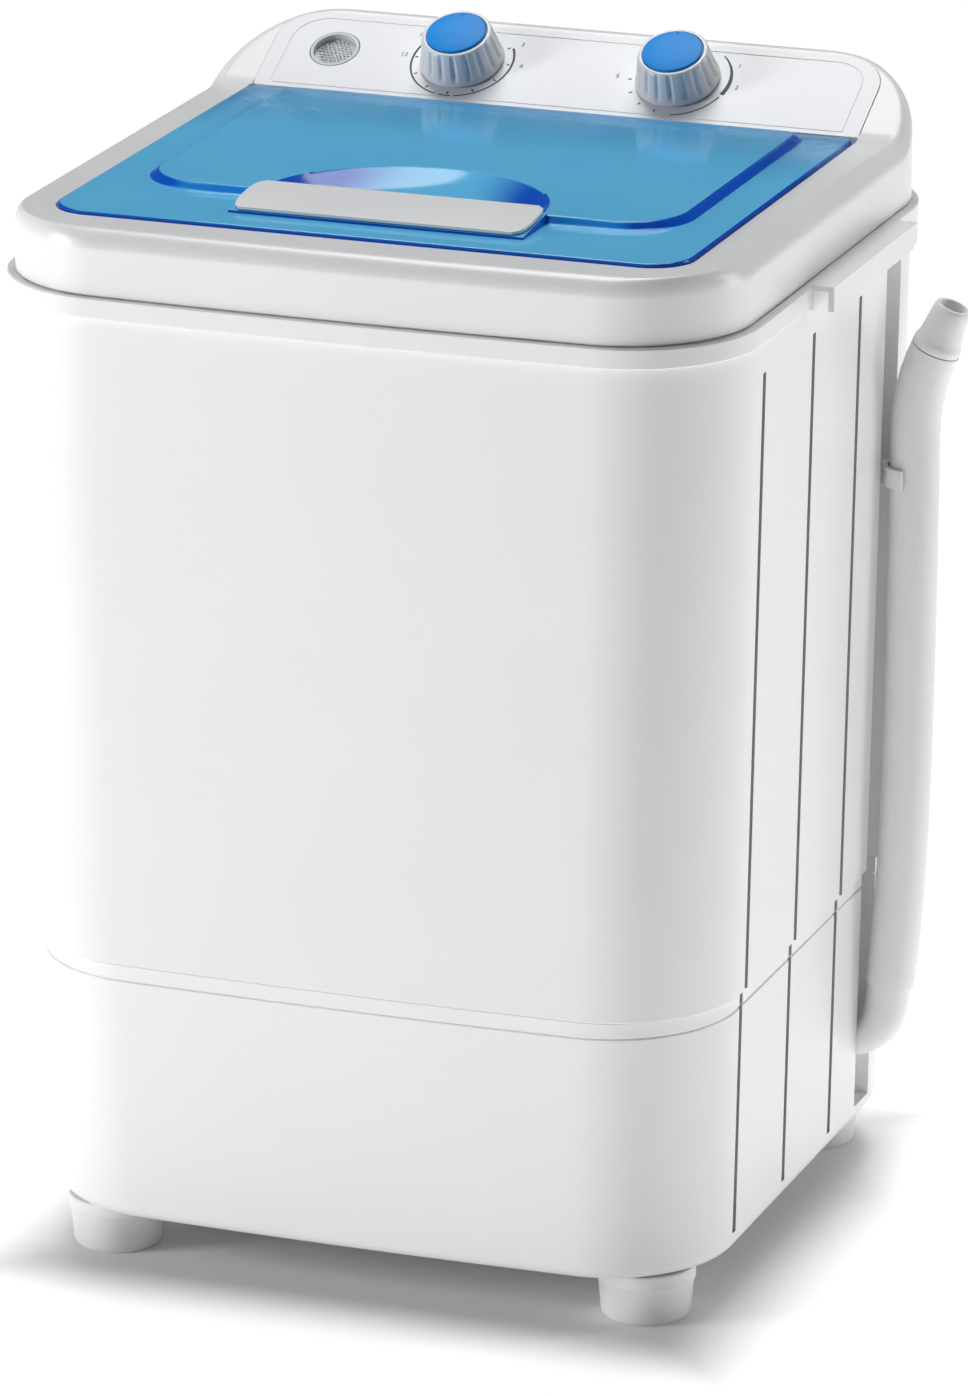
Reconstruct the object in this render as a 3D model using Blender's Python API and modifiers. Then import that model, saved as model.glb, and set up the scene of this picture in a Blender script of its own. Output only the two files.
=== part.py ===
"""Portable single-tub washer with a removable spin basket, as separate pieces.

Lengths below are millimetres and become metres in the mesh helpers.
X is to the right, -Y is the front, +Z is up, and the feet stand on z = 0.
"""
import math

import bmesh
import bpy
from mathutils import Matrix, Vector

MM = 0.001

# Plan of the casing: half width, front face, rear face, corner radii
BAND_HALF = 195.0
BAND_FRONT = -187.5
BAND_REAR = 187.4
FRONT_BOW = 5.0
CORNER_R = 66.0

# Levels, bottom to top
FOOT_TOP = 26.7
BASE_BOTTOM = 27.0
BASE_LINE = 158.6
BASE_TOP = 167.0
CASING_BOTTOM = 167.4
BAND_BOTTOM = 503.0
BAND_TOP = 513.5
COVER_BOTTOM = 513.8
DECK = 546.6

# Outer casing and base
CASING_HALF_TOP = 192.5
CASING_HALF_BOTTOM = 185.8
CASING_FRONT_TOP = -185.2
CASING_FRONT_BOTTOM = -181.0
CASING_REAR = 183.4
BASE_HALF_TOP = 183.4
BASE_HALF_BOTTOM = 180.8
BASE_FRONT_TOP = -180.0
BASE_FRONT_BOTTOM = -171.5
BASE_REAR = 181.0
WALL = 3.0
GROOVES_Y = (-105.0, -28.0, 46.0)
GROOVE_WIDE = 3.6
GROOVE_DEEP = 1.7
GROOVE_TOP = 486.0
CHANNEL_Y = (89.0, 112.0)
CHANNEL_X_CASING = 176.0
CHANNEL_X_BASE = 168.0
GRIP_Y = (-40.0, 95.0)
GRIP_REACH = 11.0
GRIP_BOTTOM = 501.0

# Top cover, lid and control panel
PANEL_START = 121.0
PANEL_END = 179.0
PANEL_SLOPE = math.radians(28.0)
LID_HALF = 165.0
LID_FRONT = -154.0
LID_REAR = 116.0
LID_TOP = 548.4
LID_WALL = 2.4
DOME_HALF = 143.0
DOME_FRONT = -100.0
DOME_RISE = 3.8
MOUTH_HALF = 155.0
MOUTH_FRONT = -144.0
HINGE_Y = 113.4
HINGE_Z = 542.6
HINGE_X = 58.0
HANDLE_HALF = 77.0
HANDLE_FRONT = -132.0
HANDLE_REAR = -97.3
SCOOP_R = 76.0
KNOB_X = 59.0
KNOB_Y = 149.5
INLET_X = -130.0
INLET_Y = 150.0

# Washing unit, all turned about the tub's upright axis
TUB_Y = -8.0
TUB_TOP = 507.0
TUB_BOTTOM = 178.0
TUB_R_TOP = 166.0
TUB_R_BOTTOM = 156.0
SHAFT_R = 5.0
BORE_GAP = 0.3
PULSATOR_R = 124.0
BASKET_R_TOP = 113.0
BASKET_R_BOTTOM = 102.0
BASKET_BOTTOM = 217.0
BASKET_TOP = 400.0

# Drive under the tub
PLATE_BOTTOM = 140.0
PLATE_TOP = 142.5
PULLEY_BOTTOM = 46.0
PULLEY_TOP = 62.0
PULLEY_R = 65.0
MOTOR_PULLEY_R = 22.0
BELT_DEEP = 5.7
BELT_IN_DRIVEN = 58.3
BELT_IN_MOTOR = 16.3
MOTOR_X = -100.0
MOTOR_Y = -48.0
MOTOR_R = 50.0
POSTS = ((-150.0, -95.0), (150.0, -95.0), (-150.0, 40.0), (150.0, 40.0))

# Drain line on the right side
DRAIN_X = 112.0
DRAIN_Y = 70.0
SPOUT_BEND = (191.5, 100.5, 74.0)
SPOUT_END = (195.6, 100.5, 104.0)
HOSE_STRAIGHT_X = 205.0
HOSE_BEND_Z = 400.0
HOSE_BEND_R = 115.0
HOSE_LEAN = math.radians(24.0)
HOSE_R = 13.0
PIPE_R = 11.5
CLIP_Z = 380.0

FEET = ((-143.0, -130.0), (143.0, -130.0), (-143.0, 134.0), (143.0, 134.0))
FOOT_R = 25.0

for old in list(bpy.data.objects):
    bpy.data.objects.remove(old)

PARTS = bpy.data.collections.new("portable_washer")
CUTTERS = bpy.data.collections.new("cutters")
CUTTERS.hide_render = True
bpy.context.scene.collection.children.link(PARTS)
bpy.context.scene.collection.children.link(CUTTERS)


def material(name, colour, rough=0.4, metal=0.0):
    found = bpy.data.materials.new(name)
    found.use_nodes = True
    shader = found.node_tree.nodes["Principled BSDF"]
    shader.inputs["Base Color"].default_value = (*colour, 1.0)
    shader.inputs["Roughness"].default_value = rough
    shader.inputs["Metallic"].default_value = metal
    return found


WHITE = (0.86, 0.87, 0.88)


def keep(obj, colour, rough=0.35, metal=0.0):
    """Puts an object among the parts, with a material of its own."""
    PARTS.objects.link(obj)
    obj.data.materials.clear()
    obj.data.materials.append(material(obj.name, colour, rough, metal))
    return obj


def helper(obj):
    """Puts an object among the cutters."""
    CUTTERS.objects.link(obj)
    obj.hide_render = True
    obj.display_type = "WIRE"
    return obj


def object_of(name, points, faces, edges=()):
    mesh = bpy.data.meshes.new(name)
    mesh.from_pydata([Vector(p) * MM for p in points], edges, faces)
    mesh.update()
    return bpy.data.objects.new(name, mesh)


def boolean(target, other, kind="DIFFERENCE"):
    step = target.modifiers.new(other.name, "BOOLEAN")
    step.operation = kind
    step.solver = "EXACT"
    step.object = other
    return target


def box(name, x, y, z):
    """A box between two limits on each axis."""
    made = bmesh.new()
    bmesh.ops.create_cube(made, size=1.0)
    size = Vector((x[1] - x[0], y[1] - y[0], z[1] - z[0])) * MM
    middle = Vector((x[0] + x[1], y[0] + y[1], z[0] + z[1])) * MM / 2
    bmesh.ops.scale(made, vec=size, verts=made.verts)
    bmesh.ops.translate(made, vec=middle, verts=made.verts)
    mesh = bpy.data.meshes.new(name)
    made.to_mesh(mesh)
    made.free()
    return bpy.data.objects.new(name, mesh)


def boxes(name, places):
    """Many boxes in one helper mesh: (centre, size, turn about Z)."""
    made = bmesh.new()
    for centre, size, turn in places:
        new = bmesh.ops.create_cube(made, size=1.0)["verts"]
        bmesh.ops.scale(made, vec=Vector(size) * MM, verts=new)
        spin = Matrix.Rotation(turn, 4, "Z")
        bmesh.ops.transform(made, matrix=Matrix.Translation(Vector(centre) * MM) @ spin, verts=new)
    mesh = bpy.data.meshes.new(name)
    made.to_mesh(mesh)
    made.free()
    return bpy.data.objects.new(name, mesh)


def rod(name, radius, z, at=(0.0, 0.0), steps=20, radius_top=None):
    """An upright cylinder or cone between two levels."""
    made = bmesh.new()
    bmesh.ops.create_cone(
        made,
        cap_ends=True,
        segments=steps,
        radius1=radius * MM,
        radius2=(radius if radius_top is None else radius_top) * MM,
        depth=(z[1] - z[0]) * MM,
    )
    bmesh.ops.translate(made, vec=Vector((at[0], at[1], (z[0] + z[1]) / 2)) * MM, verts=made.verts)
    mesh = bpy.data.meshes.new(name)
    made.to_mesh(mesh)
    made.free()
    return bpy.data.objects.new(name, mesh)


def turned(name, profile, steps=40, ring=False):
    """A profile of (radius, height) turned about Z; ring closes it on itself."""
    points = [(r, 0.0, z) for r, z in profile]
    edges = [(i, i + 1) for i in range(len(points) - 1)]
    if ring:
        edges.append((len(points) - 1, 0))
    obj = object_of(name, points, [], edges)
    turn = obj.modifiers.new("turn", "SCREW")
    turn.steps = steps
    turn.render_steps = steps
    turn.use_merge_vertices = True
    turn.merge_threshold = 0.00001
    turn.use_smooth_shade = True
    return obj


def plan(half, front, rear, r_front=CORNER_R, r_rear=CORNER_R, bow=FRONT_BOW, stops=()):
    """The right half of the casing's outline, from the front round to the rear."""
    points = []
    for part in (0.2, 0.5, 0.8, 1.0):
        x = (half - r_front) * part
        points.append((x, front + bow * (x / half) ** 2))
    base = points[-1][1]
    for i in range(1, 9):
        a = math.radians(-90 + 90 * i / 8)
        points.append((half - r_front + r_front * math.cos(a), base + r_front + r_front * math.sin(a)))
    for y in stops:
        points.append((half, y))
    for i in range(9):
        a = math.radians(90 * i / 8)
        points.append((half - r_rear + r_rear * math.cos(a), rear - r_rear + r_rear * math.sin(a)))
    return points


def loft(name, sections, height=None):
    """Half outlines at rising levels, mirrored and closed: each section is (points, z or drop)."""
    count = len(sections[0][0])
    points = []
    for outline, z in sections:
        right = [(x, y, height(y) - z if height and z < 100 else z) for x, y in outline]
        points += right + [(-x, y, h) for x, y, h in reversed(right)]
    around = 2 * count
    faces = []
    for level in range(len(sections) - 1):
        low, high = level * around, (level + 1) * around
        for i in range(around):
            j = (i + 1) % around
            faces.append((low + i, low + j, high + j))
            faces.append((low + i, high + j, high + i))
    top = (len(sections) - 1) * around
    faces.append(tuple(reversed(range(around))))
    if height:
        for i in range(count - 1):
            across = top + around - 1 - i
            faces.append((top + i, top + i + 1, across - 1, across))
    else:
        faces.append(tuple(range(top, top + around)))
    return object_of(name, points, faces)


def rounded(half_x, y0, y1, radius, r_rear=None, steps=4):
    """The right half of a rounded rectangle's outline, from the front to the rear."""
    rear = radius if r_rear is None else r_rear
    points = []
    for i in range(steps + 1):
        a = math.radians(-90 + 90 * i / steps)
        points.append((half_x - radius + radius * math.cos(a), y0 + radius + radius * math.sin(a)))
    for i in range(steps + 1):
        a = math.radians(90 * i / steps)
        points.append((half_x - rear + rear * math.cos(a), y1 - rear + rear * math.sin(a)))
    return points


def flat(name, outlines, z):
    """Closed 2D outlines, holes inside them included, as a plate between two levels."""
    curve = bpy.data.curves.new(name, "CURVE")
    curve.dimensions = "2D"
    curve.fill_mode = "BOTH"
    curve.extrude = (z[1] - z[0]) / 2 * MM
    for outline in outlines:
        line = curve.splines.new("POLY")
        line.points.add(len(outline) - 1)
        for point, (x, y) in zip(line.points, outline):
            point.co = (x * MM, y * MM, 0.0, 1.0)
        line.use_cyclic_u = True
    guide = bpy.data.objects.new(name + "_outline", curve)
    bpy.context.scene.collection.objects.link(guide)
    bpy.context.view_layer.update()
    made = bmesh.new()
    depsgraph = bpy.context.evaluated_depsgraph_get()
    made.from_mesh(bpy.data.meshes.new_from_object(guide.evaluated_get(depsgraph)))
    bmesh.ops.remove_doubles(made, verts=made.verts, dist=1e-6)
    bmesh.ops.translate(made, vec=(0, 0, (z[0] + z[1]) / 2 * MM), verts=made.verts)
    mesh = bpy.data.meshes.new(name)
    made.to_mesh(mesh)
    made.free()
    bpy.data.objects.remove(guide)
    return bpy.data.objects.new(name, mesh)


def pipe(name, path, radius, resolution=3):
    """A round bar along a path of points, with closed ends."""
    curve = bpy.data.curves.new(name, "CURVE")
    curve.dimensions = "3D"
    curve.bevel_depth = radius * MM
    curve.bevel_resolution = resolution
    curve.use_fill_caps = True
    line = curve.splines.new("POLY")
    line.points.add(len(path) - 1)
    for point, place in zip(line.points, path):
        point.co = (*(Vector(place) * MM), 1.0)
    guide = bpy.data.objects.new(name + "_path", curve)
    bpy.context.scene.collection.objects.link(guide)
    bpy.context.view_layer.update()
    made = bmesh.new()
    depsgraph = bpy.context.evaluated_depsgraph_get()
    made.from_mesh(bpy.data.meshes.new_from_object(guide.evaluated_get(depsgraph)))
    bmesh.ops.remove_doubles(made, verts=made.verts, dist=1e-6)
    bmesh.ops.recalc_face_normals(made, faces=made.faces)
    mesh = bpy.data.meshes.new(name)
    made.to_mesh(mesh)
    made.free()
    bpy.data.objects.remove(guide)
    return bpy.data.objects.new(name, mesh)


def bend(start, corner, end, radius, steps=6):
    """Points of a path from start to end that rounds its corner."""
    start, corner, end = Vector(start), Vector(corner), Vector(end)
    back, ahead = (start - corner).normalized(), (end - corner).normalized()
    half = back.angle(ahead) / 2
    reach = radius / math.tan(half)
    centre = corner + (back + ahead).normalized() * radius / math.sin(half)
    first, last = corner + back * reach, corner + ahead * reach
    turn = (first - centre).angle(last - centre)
    axis = (first - centre).cross(last - centre).normalized()
    arc = [centre + Matrix.Rotation(turn * i / steps, 3, axis) @ (first - centre) for i in range(steps + 1)]
    return [start, *arc, end]


def between(low, high, z, z_low, z_high):
    return low + (high - low) * (z - z_low) / (z_high - z_low)


# ---- Outer casing: drafted shell with the band, side grips, grooves and rear channels
def casing_plan(z, inset=0.0):
    half = between(CASING_HALF_BOTTOM, CASING_HALF_TOP, z, CASING_BOTTOM, BAND_BOTTOM) - inset
    front = between(CASING_FRONT_BOTTOM, CASING_FRONT_TOP, z, CASING_BOTTOM, BAND_BOTTOM) + inset
    return plan(half, front, CASING_REAR - inset, CORNER_R - inset, CORNER_R - inset)


band = plan(BAND_HALF, BAND_FRONT, BAND_REAR)
casing = keep(
    loft(
        "outer_casing",
        [
            (casing_plan(CASING_BOTTOM), CASING_BOTTOM),
            (casing_plan(BAND_BOTTOM - 1.0), BAND_BOTTOM - 1.0),
            (band, BAND_BOTTOM),
            (band, BAND_TOP),
        ],
    ),
    WHITE,
)
grips = boxes(
    "grips",
    [
        (
            (side * (BAND_HALF + GRIP_REACH / 2 - 3), sum(GRIP_Y) / 2, (GRIP_BOTTOM + BAND_TOP) / 2),
            (GRIP_REACH + 6, GRIP_Y[1] - GRIP_Y[0], BAND_TOP - GRIP_BOTTOM),
            0.0,
        )
        for side in (-1, 1)
    ],
)
boolean(casing, helper(grips), "UNION")
grip_hollow = boxes(
    "grip_hollow",
    [
        (
            (side * (BAND_HALF + 4.1), sum(GRIP_Y) / 2, BAND_TOP - 2.6 - 10),
            (GRIP_REACH - 3.2, GRIP_Y[1] - GRIP_Y[0] + 10, 20),
            0.0,
        )
        for side in (-1, 1)
    ],
)
inner = loft(
    "casing_inside",
    [
        (casing_plan(CASING_BOTTOM - 8, WALL), CASING_BOTTOM - 8),
        (casing_plan(BAND_TOP + 8, WALL), BAND_TOP + 8),
    ],
)
channel_back = boxes(
    "channel_back",
    [
        ((side * (CHANNEL_X_CASING - WALL + 20), sum(CHANNEL_Y) / 2, 340),
         (40, CHANNEL_Y[1] - CHANNEL_Y[0] + 2 * WALL, 500), 0.0)
        for side in (-1, 1)
    ],
)
boolean(helper(inner), helper(channel_back))
boolean(casing, inner)
boolean(casing, helper(grip_hollow))
channel = boxes(
    "channel",
    [
        ((side * (CHANNEL_X_CASING + 15), sum(CHANNEL_Y) / 2, (CASING_BOTTOM - 5 + BAND_BOTTOM - 0.5) / 2),
         (30, CHANNEL_Y[1] - CHANNEL_Y[0], BAND_BOTTOM - 0.5 - CASING_BOTTOM + 5), 0.0)
        for side in (-1, 1)
    ],
)
boolean(casing, helper(channel))


def groove_cutter(name, z_low, half_low, z_high, half_high, places, side):
    """Upright grooves on one side, leaning with the wall."""
    points, faces = [], []
    for y in places:
        first = len(points)
        for z, half in ((z_low, half_low), (z_high, half_high)):
            for dx, dy in ((-GROOVE_DEEP, -1), (8.0, -1), (8.0, 1), (-GROOVE_DEEP, 1)):
                points.append((side * (half + dx), y + dy * GROOVE_WIDE / 2, z))
        quads = [(0, 3, 2, 1), (4, 5, 6, 7)]
        quads += [(i, (i + 1) % 4, 4 + (i + 1) % 4, 4 + i) for i in range(4)]
        for quad in quads:
            face = tuple(first + v for v in quad)
            faces.append(face if side > 0 else tuple(reversed(face)))
    return helper(object_of(name, points, faces))


def half_at(z):
    return between(CASING_HALF_BOTTOM, CASING_HALF_TOP, z, CASING_BOTTOM, BAND_BOTTOM)


for side, label in ((1, "right"), (-1, "left")):
    boolean(
        casing,
        groove_cutter(
            "casing_grooves_" + label, CASING_BOTTOM - 4, half_at(CASING_BOTTOM - 4), GROOVE_TOP,
            half_at(GROOVE_TOP), GROOVES_Y, side,
        ),
    )
rear_opening = box("rear_opening", (-100, 100), (CASING_REAR - 12, CASING_REAR + 8), (220, 460))
boolean(casing, helper(rear_opening))
SCREW_PLACES = ((-108.0, 212.0), (108.0, 212.0), (-108.0, 468.0), (108.0, 468.0))


def lying(obj, place):
    """Turns a piece made about Z so that its +Z points to the rear, at a place."""
    obj.matrix_world = Matrix.Translation(Vector(place) * MM) @ Matrix.Rotation(-math.pi / 2, 4, "X")
    return obj


screw_holes = []
for i, (x, z) in enumerate(SCREW_PLACES):
    hole = lying(rod("rear_screw_hole_%d" % (i + 1), 1.9, (-10, 10), steps=12), (x, CASING_REAR, z))
    screw_holes.append(helper(hole))
    boolean(casing, hole)

# ---- Rear service cover and its four screws
rear_cover = keep(
    box("rear_cover", (-116, 116), (CASING_REAR + 0.3, CASING_REAR + 2.2), (204, 476)), WHITE
)
vents = boxes("rear_vents", [((0, CASING_REAR + 1, 240 + 14 * i), (90, 12, 5), 0.0) for i in range(4)])
boolean(rear_cover, helper(vents))
for hole in screw_holes:
    boolean(rear_cover, hole)
for i, (x, z) in enumerate(SCREW_PLACES):
    profile = [(0.0, 3.8), (1.6, 3.8), (3.0, 2.9), (3.0, 2.5), (1.6, 2.5), (1.6, -6.0), (0.0, -7.0)]
    screw = turned("rear_cover_screw_%d" % (i + 1), profile, 10)
    keep(lying(screw, (x, CASING_REAR, z)), (0.6, 0.6, 0.62), 0.3, 1.0)


# ---- Base skirt: the lower body, its floor, motor posts and drain recess
def base_plan(z, inset=0.0, corner=CORNER_R):
    half = between(BASE_HALF_BOTTOM, BASE_HALF_TOP, z, BASE_BOTTOM, BASE_TOP) - inset
    front = between(BASE_FRONT_BOTTOM, BASE_FRONT_TOP, z, BASE_BOTTOM, BASE_TOP) + inset
    return plan(half, front, BASE_REAR - inset, corner - inset, corner - inset)


base = keep(
    loft(
        "base_skirt",
        [
            (base_plan(BASE_BOTTOM, 7.5), BASE_BOTTOM),
            (base_plan(BASE_BOTTOM + 1.8, 3.4), BASE_BOTTOM + 1.8),
            (base_plan(BASE_BOTTOM + 5.0, 0.9), BASE_BOTTOM + 5.0),
            (base_plan(BASE_BOTTOM + 9.0, 0.0), BASE_BOTTOM + 9.0),
            (base_plan(BASE_LINE - 0.7), BASE_LINE - 0.7),
            (base_plan(BASE_LINE, 0.8), BASE_LINE),
            (base_plan(BASE_LINE + 0.7), BASE_LINE + 0.7),
            (base_plan(BASE_TOP), BASE_TOP),
        ],
    ),
    WHITE,
)
base_inside = loft(
    "base_inside",
    [
        (base_plan(BASE_BOTTOM + 3.0, WALL + 4.0), BASE_BOTTOM + 3.0),
        (base_plan(BASE_BOTTOM + 11.0, WALL), BASE_BOTTOM + 11.0),
        (base_plan(BASE_TOP + 8.0, WALL), BASE_TOP + 8.0),
    ],
)
base_channel_back = boxes(
    "base_channel_back",
    [
        ((side * (CHANNEL_X_BASE - WALL + 20), sum(CHANNEL_Y) / 2, 100),
         (40, CHANNEL_Y[1] - CHANNEL_Y[0] + 2 * WALL + 1.2, 200), 0.0)
        for side in (-1, 1)
    ],
)
boolean(helper(base_inside), helper(base_channel_back))
boolean(base, base_inside)
for i, (x, y) in enumerate(POSTS):
    post = rod("post_%d" % (i + 1), 7.0, (BASE_BOTTOM + 1, PLATE_BOTTOM - 0.3), (x, y), 12)
    boolean(base, helper(post), "UNION")
    boolean(base, helper(rod("post_bore_%d" % (i + 1), 2.3, (110, 160), (x, y), 10)))
base_channel = boxes(
    "base_channel",
    [
        ((side * (CHANNEL_X_BASE + 15), sum(CHANNEL_Y) / 2, 107),
         (30, CHANNEL_Y[1] - CHANNEL_Y[0], 140), 0.0)
        for side in (-1, 1)
    ],
)
boolean(base, helper(base_channel))
for side, label in ((1, "right"), (-1, "left")):
    low_half, high_half = BASE_HALF_BOTTOM + 0.2, BASE_HALF_TOP + 0.1
    name = "base_grooves_" + label
    boolean(base, groove_cutter(name, 38.0, low_half, BASE_TOP + 6, high_half, GROOVES_Y, side))
floor_hole = box("floor_hole", (-125, 125), (-95, 100), (10, 60))
boolean(base, helper(floor_hole))
outlet_hole = rod("outlet_hole", PIPE_R + 0.4, (-20, 20), steps=20)
outlet_place = Vector((CHANNEL_X_BASE, SPOUT_BEND[1], SPOUT_BEND[2]))
outlet_hole.matrix_world = Matrix.Translation(outlet_place * MM) @ Matrix.Rotation(math.pi / 2, 4, "Y")
boolean(base, helper(outlet_hole))
GLAND = (-120.0, BASE_REAR, 62.0)
boolean(base, helper(lying(rod("gland_hole", 6.4, (-12, 12), steps=16), GLAND)))

# ---- Bottom plate over the floor opening
bottom_plate = keep(
    box("bottom_plate", (-134, 134), (-104, 109), (BASE_BOTTOM + 3.3, BASE_BOTTOM + 5.0)),
    (0.8, 0.8, 0.82),
    0.5,
)
plate_slots = boxes("plate_slots", [((-60 + 24 * i, 0, 32), (8, 120, 12), 0.0) for i in range(6)])
boolean(bottom_plate, helper(plate_slots))

# ---- Four round feet
for i, (x, y) in enumerate(FEET):
    profile = [
        (0.0, FOOT_TOP), (FOOT_R, FOOT_TOP), (FOOT_R, 20.0), (FOOT_R - 0.8, 19.2), (FOOT_R - 2.2, 2.0),
        (FOOT_R - 4.0, 0.0), (9.0, 0.0), (8.0, 3.0), (0.0, 3.0),
    ]
    foot = turned("foot_%d" % (i + 1), profile, 24)
    foot.location = Vector((x, y, 0)) * MM
    keep(foot, (0.8, 0.8, 0.8), 0.45)

# ---- Gland where the power cord would leave
gland_profile = [(6.0, -9.0), (3.3, -9.0), (3.3, 4.0), (5.4, 4.0), (8.6, 1.4), (8.6, 0.3), (6.0, 0.3)]
gland = turned("cord_gland", gland_profile, 20, ring=True)
keep(lying(gland, GLAND), (0.12, 0.12, 0.12), 0.6)


# ---- Top cover: rounded deck, rising control housing, lid recess and mouth
def deck_height(y):
    return DECK + max(0.0, min(y, PANEL_END) - PANEL_START) * math.tan(PANEL_SLOPE)


def cover_plan(inset, r_front, r_rear):
    half, front, rear = 190.8 - inset, -185.0 + inset, 186.6 - inset
    return plan(half, front, rear, r_front, r_rear, stops=(0.0, PANEL_START - 3.0))


R0 = 64.0
cover = keep(
    loft(
        "top_cover",
        [
            (cover_plan(0.0, R0, R0), COVER_BOTTOM),
            (cover_plan(0.8, R0 - 0.8, R0 - 0.8), 10.0),
            (cover_plan(2.6, 58.0, 61.0), 4.6),
            (cover_plan(5.6, 48.0, 57.0), 1.4),
            (cover_plan(9.6, 37.0, 52.0), 0.0),
        ],
        deck_height,
    ),
    WHITE,
)
cover_inside = loft(
    "cover_inside",
    [
        (cover_plan(WALL, R0 - WALL, R0 - WALL), COVER_BOTTOM - 8),
        (cover_plan(WALL + 0.8, R0 - 4, R0 - 4), 13.0),
        (cover_plan(WALL + 5.6, 50.0, 55.0), 5.0),
        (cover_plan(WALL + 9.6, 38.0, 50.0), 3.5),
    ],
    deck_height,
)
boolean(cover, helper(cover_inside))
RECESS_HALF, RECESS_FRONT, RECESS_REAR, RECESS_FLOOR = 166.2, -155.2, 121.0, 543.4
ledge = loft(
    "ledge",
    [
        (rounded(RECESS_HALF + 3, RECESS_FRONT - 3, RECESS_REAR + 3, 25, 12), RECESS_FLOOR - 3.0),
        (rounded(RECESS_HALF + 3, RECESS_FRONT - 3, RECESS_REAR + 3, 25, 12), DECK - 1.0),
    ],
)
boolean(cover, helper(ledge), "UNION")
funnel = loft(
    "funnel",
    [
        (
            rounded(MOUTH_HALF - 3 + WALL, MOUTH_FRONT + 3 - WALL, RECESS_REAR - 5 + WALL, 60, 60),
            TUB_TOP + 0.5,
        ),
        (rounded(MOUTH_HALF + WALL, MOUTH_FRONT - WALL, RECESS_REAR + WALL, 30, 12), RECESS_FLOOR - 1.5),
    ],
)
boolean(cover, helper(funnel), "UNION")
pocket_walls = boxes(
    "pocket_walls", [((side * 154.9, 115.6, 538.1), (30.8, 18.0, 6.1), 0.0) for side in (-1, 1)]
)
boolean(cover, helper(pocket_walls), "UNION")
mouth = loft(
    "mouth",
    [
        (rounded(MOUTH_HALF - 3.5, MOUTH_FRONT + 3.5, RECESS_REAR - 5.5, 58, 58), TUB_TOP - 8),
        (rounded(MOUTH_HALF - 3, MOUTH_FRONT + 3, RECESS_REAR - 5, 58, 58), TUB_TOP + 0.5),
        (rounded(MOUTH_HALF, MOUTH_FRONT, RECESS_REAR, 28, 10), RECESS_FLOOR),
        (rounded(MOUTH_HALF, MOUTH_FRONT, RECESS_REAR, 28, 10), 600),
    ],
)
boolean(cover, helper(mouth))
recess = loft(
    "recess",
    [
        (rounded(RECESS_HALF, RECESS_FRONT, RECESS_REAR, 22, 3), RECESS_FLOOR),
        (rounded(RECESS_HALF, RECESS_FRONT, RECESS_REAR, 22, 3), 600),
    ],
)
boolean(cover, helper(recess))
pockets = boxes("pockets", [((side * 153.6, 114.9, 541.6), (24.4, 10.6, 6.4), 0.0) for side in (-1, 1)])
boolean(cover, helper(pockets))
EAR_ENDS = (-28.4, 28.4)
lugs = boxes(
    "lugs",
    [((side * HINGE_X + end, 111.3, 540.1), (3.0, 4.6, 10.6), 0.0) for side in (-1, 1) for end in EAR_ENDS],
)
boolean(cover, helper(lugs), "UNION")
arms = boxes(
    "arms",
    [((side * HINGE_X + end, 116.0, 536.95), (2.8, 13.0, 4.1), 0.0) for side in (-1, 1) for end in EAR_ENDS],
)
boolean(cover, helper(arms), "UNION")


def crosswise(obj, x, y, z):
    """Turns a piece made about Z so that it lies along X."""
    obj.matrix_world = Matrix.Translation(Vector((x, y, z)) * MM) @ Matrix.Rotation(math.pi / 2, 4, "Y")
    return obj


for side, label in ((1, "right"), (-1, "left")):
    for end in EAR_ENDS:
        boss = rod("ear_boss_%s_%d" % (label, end > 0), 3.3, (-1.35, 1.35), steps=16)
        boolean(cover, helper(crosswise(boss, side * HINGE_X + end, HINGE_Y, HINGE_Z)), "UNION")
    hole = crosswise(rod("ear_hole_" + label, 2.2, (-34, 34), steps=12), side * HINGE_X, HINGE_Y, HINGE_Z)
    boolean(cover, helper(hole))
spout_hole = rod("spout_hole", 10.4, (-18, 24), steps=20)
forwards = Matrix.Rotation(-math.pi / 2, 4, "X")
spout_hole.matrix_world = Matrix.Translation(Vector((INLET_X, 112, 529)) * MM) @ forwards
boolean(cover, helper(spout_hole))


# ---- Control panel plate set into the slope, with the knob and inlet openings
def on_panel(obj, x, y, lift=0.0):
    """Stands a piece made about Z on the sloping panel."""
    place = Vector((x, y, deck_height(y))) + Vector((0, -math.sin(PANEL_SLOPE), math.cos(PANEL_SLOPE))) * lift
    obj.matrix_world = Matrix.Translation(place * MM) @ Matrix.Rotation(PANEL_SLOPE, 4, "X")
    return obj


PANEL_MID = 149.0
SLOPE_LONG = (PANEL_END - PANEL_START) / math.cos(PANEL_SLOPE)
plate_half, plate_low, plate_high = 165.0, -SLOPE_LONG / 2 + 2.0, SLOPE_LONG / 2 - 4.0


def full(outline):
    return outline + [(-x, y) for x, y in reversed(outline)]


fascia_outline = full(rounded(plate_half + 0.4, plate_low - 0.4, plate_high + 0.4, 2.4, 22.4))
fascia_cut = flat("fascia_cut", [fascia_outline], (-1.7, 6))
boolean(cover, helper(on_panel(fascia_cut, 0, PANEL_MID)))
fascia_back_outline = full(rounded(plate_half - 8, plate_low + 7, plate_high - 5, 4, 16))
fascia_back = flat("fascia_back", [fascia_back_outline], (-12, 6))
boolean(cover, helper(on_panel(fascia_back, 0, PANEL_MID)))
panel = keep(
    on_panel(
        flat("control_panel", [full(rounded(plate_half, plate_low, plate_high, 2, 22))], (-1.4, 0.4)), 0, PANEL_MID
    ),
    WHITE,
)

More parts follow.
